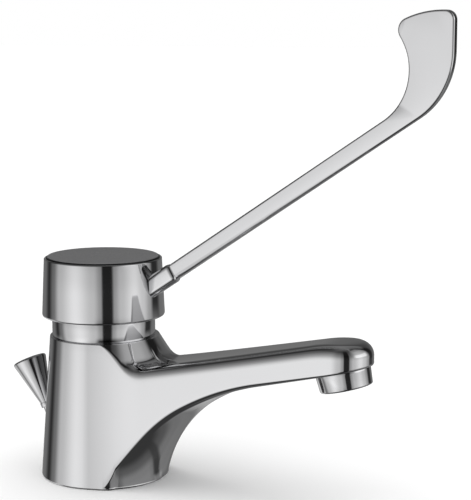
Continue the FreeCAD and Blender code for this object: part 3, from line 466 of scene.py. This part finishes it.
def directions():
    """The directions of the cuts, closer together at the spout's root and round the nose."""
    turns = [math.radians(angle) for angle in range(-90, ROOT_START, BACK_STEP)]
    turns += [math.radians(ROOT_START + ROOT_STEP * k) for k in range(ROOT_CUTS)]
    flat, facing = flat_wall(COLUMN_TOP / 2)
    start = math.tan(turns[-1] - facing) * flat
    end = NOSE_REACH * math.cos(facing)
    for k in range(1, FLAT_CUTS):
        turns.append(facing + math.atan2(start + (end - start) * k / FLAT_CUTS, flat))
    for k in range(NOSE_CUTS + 1):
        lean = facing + (math.pi / 2 - facing) * k / NOSE_CUTS
        turns.append(math.atan2(NOSE_REACH + NOSE_RAD * math.sin(lean), NOSE_RAD * math.cos(lean)))
    return turns


turns = directions()
spout_turn = next(turn for turn in turns if is_spout(turn))
cuts = [cut_through(turn, max(0, (spout_turn - turn) * FADE)) for turn in turns]
print("cuts:", len(cuts), "rows in each:", set(len(rows) for rows in cuts))

# %% [markdown]
# Now the sheet is wrapped. Its corners and faces could be listed one by one, but a grid already has its
# faces in order, so each of its corners only moves to a place in the cuts. The mirror modifier merges
# the two halves in the middle plane, and the rows that end on the column's axis are merged into points.

# %% Wrap a grid round the casting and mirror it
EDGE_ANGLE = math.radians(30)
MIRROR_MERGE = 0.02 * MM
let_go()
bpy.ops.mesh.primitive_grid_add(x_subdivisions=len(cuts) - 1, y_subdivisions=len(cuts[0]) - 1, size=2)
casting = bpy.context.object
casting.name = "casting"
for vertex in casting.data.vertices:
    column = round((vertex.co.x + 1) / 2 * (len(cuts) - 1))
    row = round((vertex.co.y + 1) / 2 * (len(cuts[0]) - 1))
    vertex.co = cuts[column][row] * MM
apply_modifier(casting, "MIRROR", use_axis=(False, True, False), use_clip=True, use_mirror_merge=True,
               merge_threshold=MIRROR_MERGE)
pick(casting)
bpy.ops.object.mode_set(mode="EDIT")
bpy.ops.mesh.select_all(action="SELECT")
bpy.ops.mesh.remove_doubles(threshold=WELD)
bpy.ops.mesh.dissolve_degenerate(threshold=WELD)
bpy.ops.mesh.normals_make_consistent(inside=False)
bpy.ops.object.mode_set(mode="OBJECT")
bpy.ops.object.shade_smooth_by_angle(angle=EDGE_ANGLE)
tell(casting)

# %% [markdown]
# Three low bosses under the column's floor take the fixing stud and the two hoses, a slanting hole lets
# the pull rod out of the back, and the spout is bored for the aerator. The holes could be part of the
# wrapped grid, but each would disturb its even rows. So they are cut with boolean modifiers, as a drill
# would cut them.

# %% Places and sizes of the bosses and holes
DRILL_SIDES = 64
AERATOR_LEAN, ROD_LEAN = -14.0, -25.5
AERATOR_MOUTH, ROD_FOOT = (121.6, 61.72), (-20.8, 1.4)
STUD_X, HOSE_Y, BOSS_LOW, CAVITY_TOP = 14.0, 9.0, 16.0, 18.0
STUD_BOSS, HOSE_BOSS, STUD_HOLE, HOSE_HOLE = 6.4, 7.4, 4.0, 5.0
STUD_DEPTH, HOSE_DEPTH = 10.5, 11.0
ROD_HOLE, ROD_HOLE_LENGTH, ROD_HOLE_START = 3.4, 34.4, -6.0
WATERWAY, WATERWAY_LENGTH, WATERWAY_LOW = 3.2, 6.0, 25.5
BORE, BORE_LENGTH, BORE_START, MOUTH, MOUTH_LENGTH = 11.0, 12.3, -4.0, 11.9, 4.4
OVERLAP = 1
print("aerator leans", AERATOR_LEAN, "degrees, pull rod", ROD_LEAN, "degrees")

# %% A drill, and what it does to a piece


def along(place, degrees, distance):
    """A place on a leaning axis, at a distance from the axis's foot."""
    turn = math.radians(degrees)
    return place[0] + distance * math.sin(turn), place[1] + distance * math.cos(turn)


def drill(radius, length, x, z, y=0.0, degrees=0.0):
    """A closed cylinder that starts at a place and leans over by some degrees."""
    let_go()
    bpy.ops.mesh.primitive_cylinder_add(vertices=DRILL_SIDES, radius=radius * MM, depth=length * MM,
                                        location=(0, y * MM, length / 2 * MM))
    return lean_over(bpy.context.object, degrees, x, z)


def work(piece, tools, operation):
    """Joins the tools and adds them to a piece, or takes them away from it."""
    let_go()
    for tool in tools:
        tool.select_set(True)
    bpy.context.view_layer.objects.active = tools[0]
    bpy.ops.object.join()
    tool = bpy.context.object
    apply_modifier(piece, "BOOLEAN", object=tool, operation=operation, solver="EXACT")
    pick(tool)
    bpy.ops.object.delete()
    pick(piece)
    bpy.ops.object.shade_smooth_by_angle(angle=EDGE_ANGLE)


bore_place = along(AERATOR_MOUTH, AERATOR_LEAN, BORE_START)
print("bore starts at", [round(v, 2) for v in bore_place])

# %% Add the bosses and drill the holes
work(casting, [
    drill(STUD_BOSS, CAVITY_TOP - BOSS_LOW + OVERLAP, STUD_X, BOSS_LOW),
    drill(HOSE_BOSS, CAVITY_TOP - BOSS_LOW + OVERLAP, 0, BOSS_LOW, HOSE_Y),
    drill(HOSE_BOSS, CAVITY_TOP - BOSS_LOW + OVERLAP, 0, BOSS_LOW, -HOSE_Y),
], "UNION")
work(casting, [
    drill(STUD_HOLE, STUD_DEPTH, STUD_X, BOSS_LOW - OVERLAP),
    drill(HOSE_HOLE, HOSE_DEPTH, 0, BOSS_LOW - OVERLAP, HOSE_Y),
    drill(HOSE_HOLE, HOSE_DEPTH, 0, BOSS_LOW - OVERLAP, -HOSE_Y),
    drill(ROD_HOLE, ROD_HOLE_LENGTH, *along(ROD_FOOT, ROD_LEAN, ROD_HOLE_START), degrees=ROD_LEAN),
    drill(BORE, BORE_LENGTH, *bore_place, degrees=AERATOR_LEAN),
], "DIFFERENCE")
work(casting, [
    drill(WATERWAY, WATERWAY_LENGTH, 0, WATERWAY_LOW, HOSE_Y),
    drill(WATERWAY, WATERWAY_LENGTH, 0, WATERWAY_LOW, -HOSE_Y),
    drill(MOUTH, MOUTH_LENGTH, *bore_place, degrees=AERATOR_LEAN),
], "DIFFERENCE")
tell(casting)

# %% [markdown]
# Round metal pieces are turned on a lathe, and these are modelled in the same spirit: a circle is added
# at one end of the profile, and then extruded and resized ring by ring, along the whole profile.
# Spin would do as well, but here every corner keeps the radius and the height of the drawing.
# A bevel modifier breaks the sharp edges afterwards, because a real polished edge is never sharp: it
# is the thin light line around it that makes it look like metal.

# %% A lathe made of extrusions
SIDES = 144


def ring_to(radius, height, last_radius, last_height):
    """Extrudes the selected ring to the next place of the profile."""
    rise = (height - last_height) * MM
    bpy.ops.mesh.extrude_region_move(TRANSFORM_OT_translate={"value": (0, 0, rise)})
    share = radius / last_radius
    bpy.ops.transform.resize(value=(share, share, 1), center_override=(0, 0, height * MM))


def lathe(name, profile, closed=True, edge=0.3, steps=3):
    """Turns a profile of (radius, height) corners in millimetres; an open one is filled at both ends."""
    let_go()
    radius, height = profile[0]
    bpy.ops.mesh.primitive_circle_add(vertices=SIDES, radius=radius * MM, location=(0, 0, height * MM),
                                      fill_type="NOTHING" if closed else "NGON", enter_editmode=True)
    piece = bpy.context.object
    piece.name = name
    corners = profile[1:] + ([profile[0]] if closed else [])
    for next_radius, next_height in corners:
        ring_to(next_radius, next_height, radius, height)
        radius, height = next_radius, next_height
    bpy.ops.mesh.select_all(action="SELECT")
    bpy.ops.mesh.remove_doubles(threshold=WELD)
    bpy.ops.mesh.normals_make_consistent(inside=False)
    bpy.ops.object.mode_set(mode="OBJECT")
    if edge:
        apply_modifier(piece, "BEVEL", width=edge * MM, segments=steps, limit_method="ANGLE",
                       angle_limit=EDGE_ANGLE)
    settle(piece)
    bpy.ops.object.shade_smooth_by_angle(angle=SKIN_ANGLE)
    return piece


print("lathe ready, sides:", SIDES)

# %% [markdown]
# The collar is a bright ring between column and cap. It hides the nut of the cartridge, and its upper
# lip reaches in over it. The cover is a flat grey disc that closes the cap over its screw. Both could
# be cylinders with a bevel, but the collar is hollow, and the lathe makes each of them in one line.

# %% The collar ring and the grey cover
COLLAR_TOP, COLLAR_LIP = 74.0, 72.4
CAP_TOP, COVER_FLOOR, COVER_TOP = 100.9, 99.2, 101.8
ring = lathe("collar", [(21.6, COLUMN_TOP), (23.5, COLUMN_TOP), (23.5, COLLAR_TOP), (17.4, COLLAR_TOP),
                        (17.4, COLLAR_LIP), (21.6, COLLAR_LIP)])
tell(ring)
cover = lathe("cover", [(25.5, COVER_FLOOR), (25.5, COVER_TOP)], closed=False, edge=0.9, steps=5)
tell(cover)

# %% [markdown]
# The cap is the handle itself: a wall that tapers a little, with a recess for the cover, a hole for
# the screw and a socket for the spindle. It could be a cylinder hollowed by a solidify modifier, but
# then its wall, its top and its socket would share one thickness. So its whole section is one closed
# profile. The lower rim is rounder than the bevel makes the other edges, so it gets arcs of its own: a
# small one inside and a wider one outside.

# %% The cap of the handle: its rounded lower rim, its wall, and the socket for the spindle
CAP_LOW, CAP_LOW_RAD, RIM_IN, RIM_OUT, ARC_STEPS = 74.3, 26.85, 0.45, 1.1, 4


def arc(radius, start, end):
    """Corners of an arc on the cap's lowest circle, to a hundredth of a millimetre; 90 degrees is up."""
    angles = [math.radians(start + (end - start) * k / ARC_STEPS) for k in range(ARC_STEPS + 1)]
    return [(round(CAP_LOW_RAD + radius * math.cos(angle), 2),
             round(CAP_LOW + radius + radius * math.sin(angle), 2)) for angle in angles]


CAP_RIM = arc(RIM_IN, 180, 270) + arc(RIM_OUT, 270, 360)[1:]
CAP_CROWN = [(26.8, CAP_TOP), (25.65, CAP_TOP), (25.65, COVER_FLOOR), (4.7, COVER_FLOOR)]
CAP_SOCKET = [(4.7, 96.6), (2.6, 96.6), (2.6, 94.6), (5.8, 94.6), (5.8, 84.0), (9.5, 84.0),
              (9.5, 96.0), (25.2, 96.0)]
cap = lathe("cap", CAP_RIM + CAP_CROWN + CAP_SOCKET, edge=0.6, steps=5)
tell(cap)

# %% [markdown]
# The lever is held in a short rounded boss that grows out of the cap along the lever. It could be
# extruded from a face of the cap, but the cap's wall has no face of its size. So a box is laid along
# the lever, its edges are rounded with a bevel, and the box is then joined to the cap.

# %% The boss that holds the lever
LEVER_LEAN, LEVER_ROOT = 33.1, 72.0
BOSS_START, BOSS_END, BOSS_HALF, BOSS_SIDE, BOSS_ROUND = 24.0, 46.6, 4.4, 3.4, 2.5
BOSS_SEGMENTS = 8
let_go()
bpy.ops.mesh.primitive_cube_add(size=1, location=(0, 0, 0))
boss = bpy.context.object
boss.name = "boss"
boss.scale = ((BOSS_END - BOSS_START) * MM, BOSS_SIDE * 2 * MM, BOSS_HALF * 2 * MM)
boss.location = ((BOSS_START + BOSS_END) / 2 * MM, 0, 0)
settle(boss)
apply_modifier(boss, "BEVEL", width=BOSS_ROUND * MM, segments=BOSS_SEGMENTS)
bpy.ops.object.shade_smooth_by_angle(angle=SKIN_ANGLE)
lean_over(boss, -LEVER_LEAN, 0, LEVER_ROOT)
pick(cap)
boss.select_set(True)
bpy.ops.object.join()
tell(cap)

# %% [markdown]
# The aerator screws up into the spout and leans with it. The pull rod comes out of the back of the
# column, and its knob flares towards a softly domed top. All of them are turned upright on the lathe
# first and leant afterwards, because a ring is only extruded straight up.

# %% Aerator, pull rod, knob and locknut
AERATOR_SEAT, ROD_RAD, ROD_LENGTH, NUT_START, NUT_HEIGHT = 0.4, 2.0, 42.4, 28.4, 2.2
aerator = lathe("aerator", [(8.2, -7.8), (10.8, -7.8), (11.3, -7.3), (11.8, -1.2), (11.8, 0), (10.9, 0),
                            (10.9, 6.0), (9.2, 6.0), (9.2, -6.8), (8.2, -6.8)], edge=0.25)
lean_over(aerator, AERATOR_LEAN, *along(AERATOR_MOUTH, AERATOR_LEAN, AERATOR_SEAT))
rod = lathe("rod", [(ROD_RAD, 0.0), (ROD_RAD, ROD_LENGTH)], closed=False, edge=0.3)
lean_over(rod, ROD_LEAN, *ROD_FOOT)
locknut = lathe("locknut", [(ROD_RAD, 0.0), (2.9, 0.0), (2.9, NUT_HEIGHT), (ROD_RAD, NUT_HEIGHT)],
                edge=0.25)
lean_over(locknut, ROD_LEAN, *along(ROD_FOOT, ROD_LEAN, NUT_START))
KNOB_BORE = [(ROD_RAD, 12.0), (ROD_RAD, 0.0)]
KNOB_FLARE = [(2.7, 0.0), (7.95, 20.7), (7.9, 21.2), (7.6, 21.65), (7.1, 21.9)]
KNOB_DOME = [(6.4, 22.05), (4.6, 22.27), (2.2, 22.42), (0.4, 22.47)]
knob = lathe("knob", KNOB_BORE + KNOB_FLARE + KNOB_DOME, closed=False, edge=0)
lean_over(knob, ROD_LEAN, *along(ROD_FOOT, ROD_LEAN, NUT_START + NUT_HEIGHT))

# %% [markdown]
# Chrome is a mirror. What shows on it is the room, so the material is plain: full metal, nearly
# smooth, with a faint unevenness from the polishing wheel and fine wipe marks in the gloss. A flat
# value of roughness would do from far away, but close up it looks like plastic film. So one noise
# texture on Object coordinates feeds both the gloss and a very low bump.

# %% A helper for finishes
NOISE_LOW, NOISE_HIGH, NOISE_DETAIL = 0.3, 0.7, 4
BUMP_HEIGHT = 0.1


def finish(name, colour, metal, low, high, grain, bump):
    """A material whose roughness runs from low to high, and whose surface is a little uneven."""
    material = bpy.data.materials.new(name)
    material.use_nodes = True
    tree = material.node_tree
    shader = tree.nodes["Principled BSDF"]
    shader.inputs["Base Color"].default_value = colour + (1,)
    shader.inputs["Metallic"].default_value = metal
    place = tree.nodes.new("ShaderNodeTexCoord")
    marks = tree.nodes.new("ShaderNodeTexNoise")
    marks.inputs["Scale"].default_value = grain
    marks.inputs["Detail"].default_value = NOISE_DETAIL
    spread = tree.nodes.new("ShaderNodeMapRange")
    spread.inputs["From Min"].default_value = NOISE_LOW
    spread.inputs["From Max"].default_value = NOISE_HIGH
    spread.inputs["To Min"].default_value = low
    spread.inputs["To Max"].default_value = high
    tree.links.new(place.outputs["Object"], marks.inputs["Vector"])
    tree.links.new(marks.outputs["Fac"], spread.inputs["Value"])
    tree.links.new(spread.outputs["Result"], shader.inputs["Roughness"])
    relief = tree.nodes.new("ShaderNodeBump")
    relief.inputs["Strength"].default_value = bump
    relief.inputs["Distance"].default_value = BUMP_HEIGHT * MM
    tree.links.new(marks.outputs["Fac"], relief.inputs["Height"])
    tree.links.new(relief.outputs["Normal"], shader.inputs["Normal"])
    return material


print("finish helper ready")

# %% [markdown]
# The cover is satin grey. It stands a little above the cap's rim, and a dark line of shadow runs round
# its side, in the gap between cover and rim. The gap could be modelled as a groove, but it is only half a
# millimetre
# high. So the shadow is painted: the cover is darkened below a height, by mixing two colours with the Z
# of its
# Object coordinates. The remaining finishes are for the parts inside, some of which show when the handle
# is lifted.

# %% The finishes of the tap
# painted shade: the colour, height and soft edge of the shadow painted in the gap round the cover's side
GAP_SHADE_HEIGHT, GAP_SHADE_BLUR, GAP_SHADE_COLOUR = 101.45, 0.1, (0.012, 0.012, 0.013)


def paint_gap_shade(material, colour, height):
    """Paints shade on what lies below a height, as the shadow in the gap round the cover's side."""
    tree = material.node_tree
    shader = tree.nodes["Principled BSDF"]
    place = tree.nodes.new("ShaderNodeTexCoord")
    parts = tree.nodes.new("ShaderNodeSeparateXYZ")
    step = tree.nodes.new("ShaderNodeMapRange")
    step.inputs["From Min"].default_value = (height - GAP_SHADE_BLUR) * MM
    step.inputs["From Max"].default_value = (height + GAP_SHADE_BLUR) * MM
    mix = tree.nodes.new("ShaderNodeMix")
    mix.data_type = "RGBA"
    mix.inputs["A"].default_value = colour + (1,)
    mix.inputs["B"].default_value = shader.inputs["Base Color"].default_value
    tree.links.new(place.outputs["Object"], parts.inputs["Vector"])
    tree.links.new(parts.outputs["Z"], step.inputs["Value"])
    tree.links.new(step.outputs["Result"], mix.inputs["Factor"])
    tree.links.new(mix.outputs["Result"], shader.inputs["Base Color"])


# each has a colour, its share of metal, the lowest and highest roughness, the grain and the bump
FINISHES = {
    "chrome": finish("chrome", (0.80, 0.80, 0.81), 1.0, 0.04, 0.09, 60, 0.02),
    "cover_grey": finish("cover_grey", (0.29, 0.29, 0.295), 0.6, 0.28, 0.4, 900, 0.05),
    "brass": finish("brass", (0.78, 0.57, 0.29), 1.0, 0.25, 0.4, 500, 0.1),
    "steel": finish("steel", (0.55, 0.55, 0.56), 1.0, 0.2, 0.35, 500, 0.1),
    "white_plastic": finish("white_plastic", (0.8, 0.8, 0.78), 0.0, 0.4, 0.55, 700, 0.1),
    "disc_ceramic": finish("disc_ceramic", (0.85, 0.84, 0.8), 0.0, 0.1, 0.2, 700, 0.05),
    "rubber": finish("rubber", (0.03, 0.03, 0.03), 0.0, 0.55, 0.75, 900, 0.2),
}
# the cover's side below the height gets the painted shadow of the gap under the cap's rim
paint_gap_shade(FINISHES["cover_grey"], GAP_SHADE_COLOUR, GAP_SHADE_HEIGHT)
print("finishes:", sorted(FINISHES))

# %% [markdown]
# Each new piece takes the place of one solid, and rides on the body that the solid belongs to. So the
# cap and the lever turn with the handle, and the knob slides with its rod. The solids that weren't
# modelled again, such as the cartridge, keep their own meshes and only get a finish.

# %% Give every piece its body and its finish
PIECES = [
    (casting, "casting", "body_casting", "chrome"),
    (ring, "casting", "collar_ring", "chrome"),
    (aerator, "casting", "aerator_housing", "chrome"),
    (cap, "handle", "handle_cap", "chrome"),
    (cover, "handle", "top_cover", "cover_grey"),
    (blade, "handle", "lever_blade", "chrome"),
    (rod, "pull_rod", "popup_rod", "chrome"),
    (knob, "pull_rod", "popup_knob", "chrome"),
    (locknut, "pull_rod", "knob_locknut", "chrome"),
]
for piece, body, node_name, slot in PIECES:
    piece.data.materials.clear()
    piece.data.materials.append(FINISHES[slot])
    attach(piece, body)
    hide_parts(node_name)
for solid in nodes.values():
    for place in solid.material_slots:
        place.material = FINISHES[place.material.name.split(".")[0]]
print("pieces:", len(PIECES))

# %% [markdown]
# The studio is a white room. A chrome surface only shows what it mirrors, so the room's walls are
# what draws the tap: two broad soft lights left and right of the camera, a narrow dark gap between
# them behind the camera, a dark corner at each side, and grey walls behind the tap. Area lamps would
# need many sizes and places for this. Here the room is painted on the world instead: each light is a
# list of brightnesses by direction, in degrees round from the camera, times a list of shares by
# height, in degrees above the horizon.

# %% The lights of the room, by direction and by height
WALLS = [(-180, 0.20), (-140, 0.17), (-120, 0.03), (-104, 0.18), (-86, 0.58), (-50, 0.93), (-15, 0.60),
         (0, 0.34), (4, 0.02), (20, 0.02), (26, 0.36), (38, 0.58), (66, 0.88), (86, 0.66),
         (103, 0.38), (114, 0.03), (126, 0.03), (142, 0.17), (180, 0.20)]
WALL_HEIGHTS = [(-90, 0), (-25, 0), (-16, 1), (-9, 1), (0, 0.88), (10, 0.68), (20, 0.48), (32, 0.34),
                (45, 0.2), (60, 0.07), (75, 0.02), (90, 0)]
UNDER_SPOUT = [(-180, 0.06), (-170, 0), (24, 0), (44, 0.25), (98, 0.24), (106, 0.2), (113, 0.04),
               (121, 0.04), (128, 0.2), (168, 0.18), (180, 0.06)]
UNDER_SPOUT_HEIGHTS = [(-90, 0), (-60, 0), (-51, 0.3), (-43, 0.85), (-36, 1), (-26, 1), (-18, 0), (90, 0)]
ZONES = [
    # the walls all round
    (WALLS, WALL_HEIGHTS),
    # low on the left, for the leaning aerator and the knob
    ([(-180, 0), (-104, 0.1), (-80, 0.6), (-50, 0.93), (-18, 0.5), (-4, 0), (180, 0)],
     [(-90, 0), (-50, 0), (-40, 0.8), (-24, 1), (-16, 0), (90, 0)]),
    # high on the right, for the bowl under the collar
    ([(-180, 0), (30, 0), (56, 0.25), (80, 0.28), (100, 0.2), (112, 0), (180, 0)],
     [(-90, 0), (5, 0), (16, 0.3), (30, 1), (45, 1), (58, 0.7), (70, 0), (90, 0)]),
    # just above the horizon on the right, for the spout's top as the cap mirrors it
    ([(-180, 0), (36, 0), (52, 0.52), (92, 0.52), (106, 0), (180, 0)],
     [(-90, 0), (2, 0), (10, 1), (20, 1), (32, 0), (90, 0)]),
    # high behind the tap, for the shoulder of the nose
    ([(-180, 0.14), (-130, 0.1), (-110, 0), (110, 0), (130, 0.1), (180, 0.14)],
     [(-90, 0), (36, 0), (48, 1), (72, 1), (84, 0), (90, 0)]),
    # low behind the tap, for its sides as they are seen from behind
    ([(-180, 0.45), (-150, 0.55), (-116, 0.4), (-96, 0), (170, 0), (180, 0.45)],
     [(-90, 0), (-48, 0), (-38, 1), (-24, 1), (-14, 0), (90, 0)]),
    # the floor behind the tap
    ([(-180, 0.12), (-110, 0.12), (-96, 0.02), (170, 0.02), (180, 0.12)],
     [(-90, 0.6), (-50, 1), (-40, 0), (90, 0)]),
    # low on the right, for the spout's underside, with a dark stripe in it
    (UNDER_SPOUT, UNDER_SPOUT_HEIGHTS),
    # a light edge under the spout's root
    ([(-180, 0), (104, 0), (112, 0.18), (126, 0.18), (136, 0.02), (180, 0)],
     [(-90, 0), (-32, 0), (-24, 1), (-18, 1), (-11, 0), (90, 0)]),
]
# the dim floor and ceiling, to which the zones are added
ROOM = [(-90, 0.03), (-50, 0.022), (-22, 0), (20, 0), (54, 0.01), (66, 0.03), (76, 0.08), (90, 0.14)]
print("studio zones:", len(ZONES))

# %% [markdown]
# The world has a node tree, just like a material. Its nodes could be placed and linked by hand in the
# editor, but there are about forty of them and many repeat. So a few helpers make a node, link it, do
# one step of a calculation, or build a ramp of brightness.

# %% Helpers for the world's nodes
scene = bpy.context.scene
world = bpy.data.worlds.new("studio")
scene.world = world
world.use_nodes = True
tree = world.node_tree
tree.nodes.clear()


def node(kind, **settings):
    """A new node of the studio's tree, with its settings."""
    made = tree.nodes.new(kind)
    for name, setting in settings.items():
        setattr(made, name, setting)
    return made


def feed(source, target, socket=0):
    """Links a node's first output, or an output itself, to a socket of the next node."""
    output = source.outputs[0] if hasattr(source, "outputs") else source
    tree.links.new(output, target.inputs[socket])
    return target


def math_node(operation, *inputs):
    """One step of a calculation, each input a number, a node or an output."""
    made = node("ShaderNodeMath", operation=operation)
    for index, given in enumerate(inputs):
        if isinstance(given, (int, float)):
            made.inputs[index].default_value = given
        else:
            feed(given, made, index)
    return made


def ramp(given, stops):
    """Brightness along a line from 0 to 1, from stops of (place, brightness)."""
    made = node("ShaderNodeValToRGB")
    feed(given, made, 0)
    line = made.color_ramp
    line.interpolation = "EASE"
    for at, _ in stops[1:-1]:
        line.elements.new(at)
    for element, (at, light) in zip(line.elements, stops):
        element.position = at
        element.color = (light, light, light, 1)
    return made


print("world:", scene.world.name)

# %% [markdown]
# The direction of each ray is turned to the camera's side and measured as two angles, and every light
# looks up its brightness for both. A picture of a room could serve instead, but numbers are easier to
# change when one reflection has to move. The camera and the dull surfaces see plain white, so that the
# tap stands before a white background, and only reflections see the room.

# %% The room that the chrome mirrors
CAMERA_TURN = math.radians(30)
EYE_WHITE = 1.0
way = node("ShaderNodeTexCoord").outputs["Generated"]
turned_way = node("ShaderNodeVectorRotate", rotation_type="Z_AXIS")
feed(way, turned_way, 0)
turned_way.inputs["Angle"].default_value = -CAMERA_TURN
parts = feed(turned_way, node("ShaderNodeSeparateXYZ"))
ahead = math_node("MULTIPLY", parts.outputs["Y"], -1.0)
round_angle = math_node("ARCTAN2", parts.outputs["X"], ahead)
round_place = math_node("MULTIPLY_ADD", round_angle, 1 / (2 * math.pi), 0.5)
height_angle = math_node("ARCSINE", parts.outputs["Z"])
height_place = math_node("MULTIPLY_ADD", height_angle, 1 / math.pi, 0.5)


def by_height(stops):
    """Brightness by elevation in degrees."""
    return ramp(height_place, [((angle + 90) / 180, light) for angle, light in stops])


mirrored = by_height(ROOM)
for sides, heights in ZONES:
    sideways = ramp(round_place, [((angle + 180) / 360, light) for angle, light in sides])
    mirrored = math_node("MULTIPLY_ADD", sideways, by_height(heights), mirrored)
paths = node("ShaderNodeLightPath").outputs
seen = math_node("MAXIMUM", paths["Is Camera Ray"], paths["Is Diffuse Ray"])
either = node("ShaderNodeMix", data_type="FLOAT")
feed(seen, either, 0)
feed(mirrored, either, 2)
either.inputs[3].default_value = EYE_WHITE
background = node("ShaderNodeBackground")
background.inputs["Color"].default_value = (1, 1, 1, 1)
feed(either, background, "Strength")
feed(background, node("ShaderNodeOutputWorld"))
print("world nodes:", len(tree.nodes))

# %% [markdown]
# The floor is a large pale plane that fades into the white room, and a broad lamp from above gives it
# a soft shadow, so that the tap stands on something. Area lamps could do this too, but a sun lamp with
# a wide angle needs no place. Both are hidden from reflections. The camera has the photograph's place
# and lens: a long lens, a little above the spout and 30 degrees to its side.

# %% Floor, lamp and camera
FLOOR_SIZE, FLOOR_PALE, FLOOR_ROUGH = 30, (0.9, 0.9, 0.9, 1), 0.9
LAMP_POWER, LAMP_SPREAD, LAMP_TILT = 0.9, math.radians(60), (math.radians(12), math.radians(-8), 0)
let_go()
bpy.ops.mesh.primitive_plane_add(size=FLOOR_SIZE, location=(0, 0, 0))
floor = bpy.context.object
floor.name = "floor"
floor.visible_glossy = False
pale = bpy.data.materials.new("pale_floor")
pale.use_nodes = True
pale_shader = pale.node_tree.nodes["Principled BSDF"]
pale_shader.inputs["Base Color"].default_value = FLOOR_PALE
pale_shader.inputs["Roughness"].default_value = FLOOR_ROUGH
floor.data.materials.append(pale)

lamp_data = bpy.data.lights.new("overhead", "SUN")
lamp_data.energy = LAMP_POWER
lamp_data.angle = LAMP_SPREAD
lamp = bpy.data.objects.new("overhead", lamp_data)
scene.collection.objects.link(lamp)
lamp.rotation_euler = LAMP_TILT
lamp.visible_glossy = False

CAMERA_PLACE = Vector((0.3897, -0.5544, 0.2028))
CAMERA_AIM = Vector((0.0696, 0.0, 0.1091))
SENSOR = 36.0
FOCAL_PIXELS = 1500
IMAGE_WIDTH = 471
camera_data = bpy.data.cameras.new("camera")
camera_data.sensor_fit = "HORIZONTAL"
camera_data.sensor_width = SENSOR
camera_data.lens = SENSOR * FOCAL_PIXELS / IMAGE_WIDTH
camera = bpy.data.objects.new("camera", camera_data)
scene.collection.objects.link(camera)
camera.location = CAMERA_PLACE
camera.rotation_euler = (CAMERA_AIM - CAMERA_PLACE).to_track_quat("-Z", "Y").to_euler()
scene.camera = camera
scene.view_settings.view_transform = "Standard"
print("camera at", [round(v, 3) for v in CAMERA_PLACE])
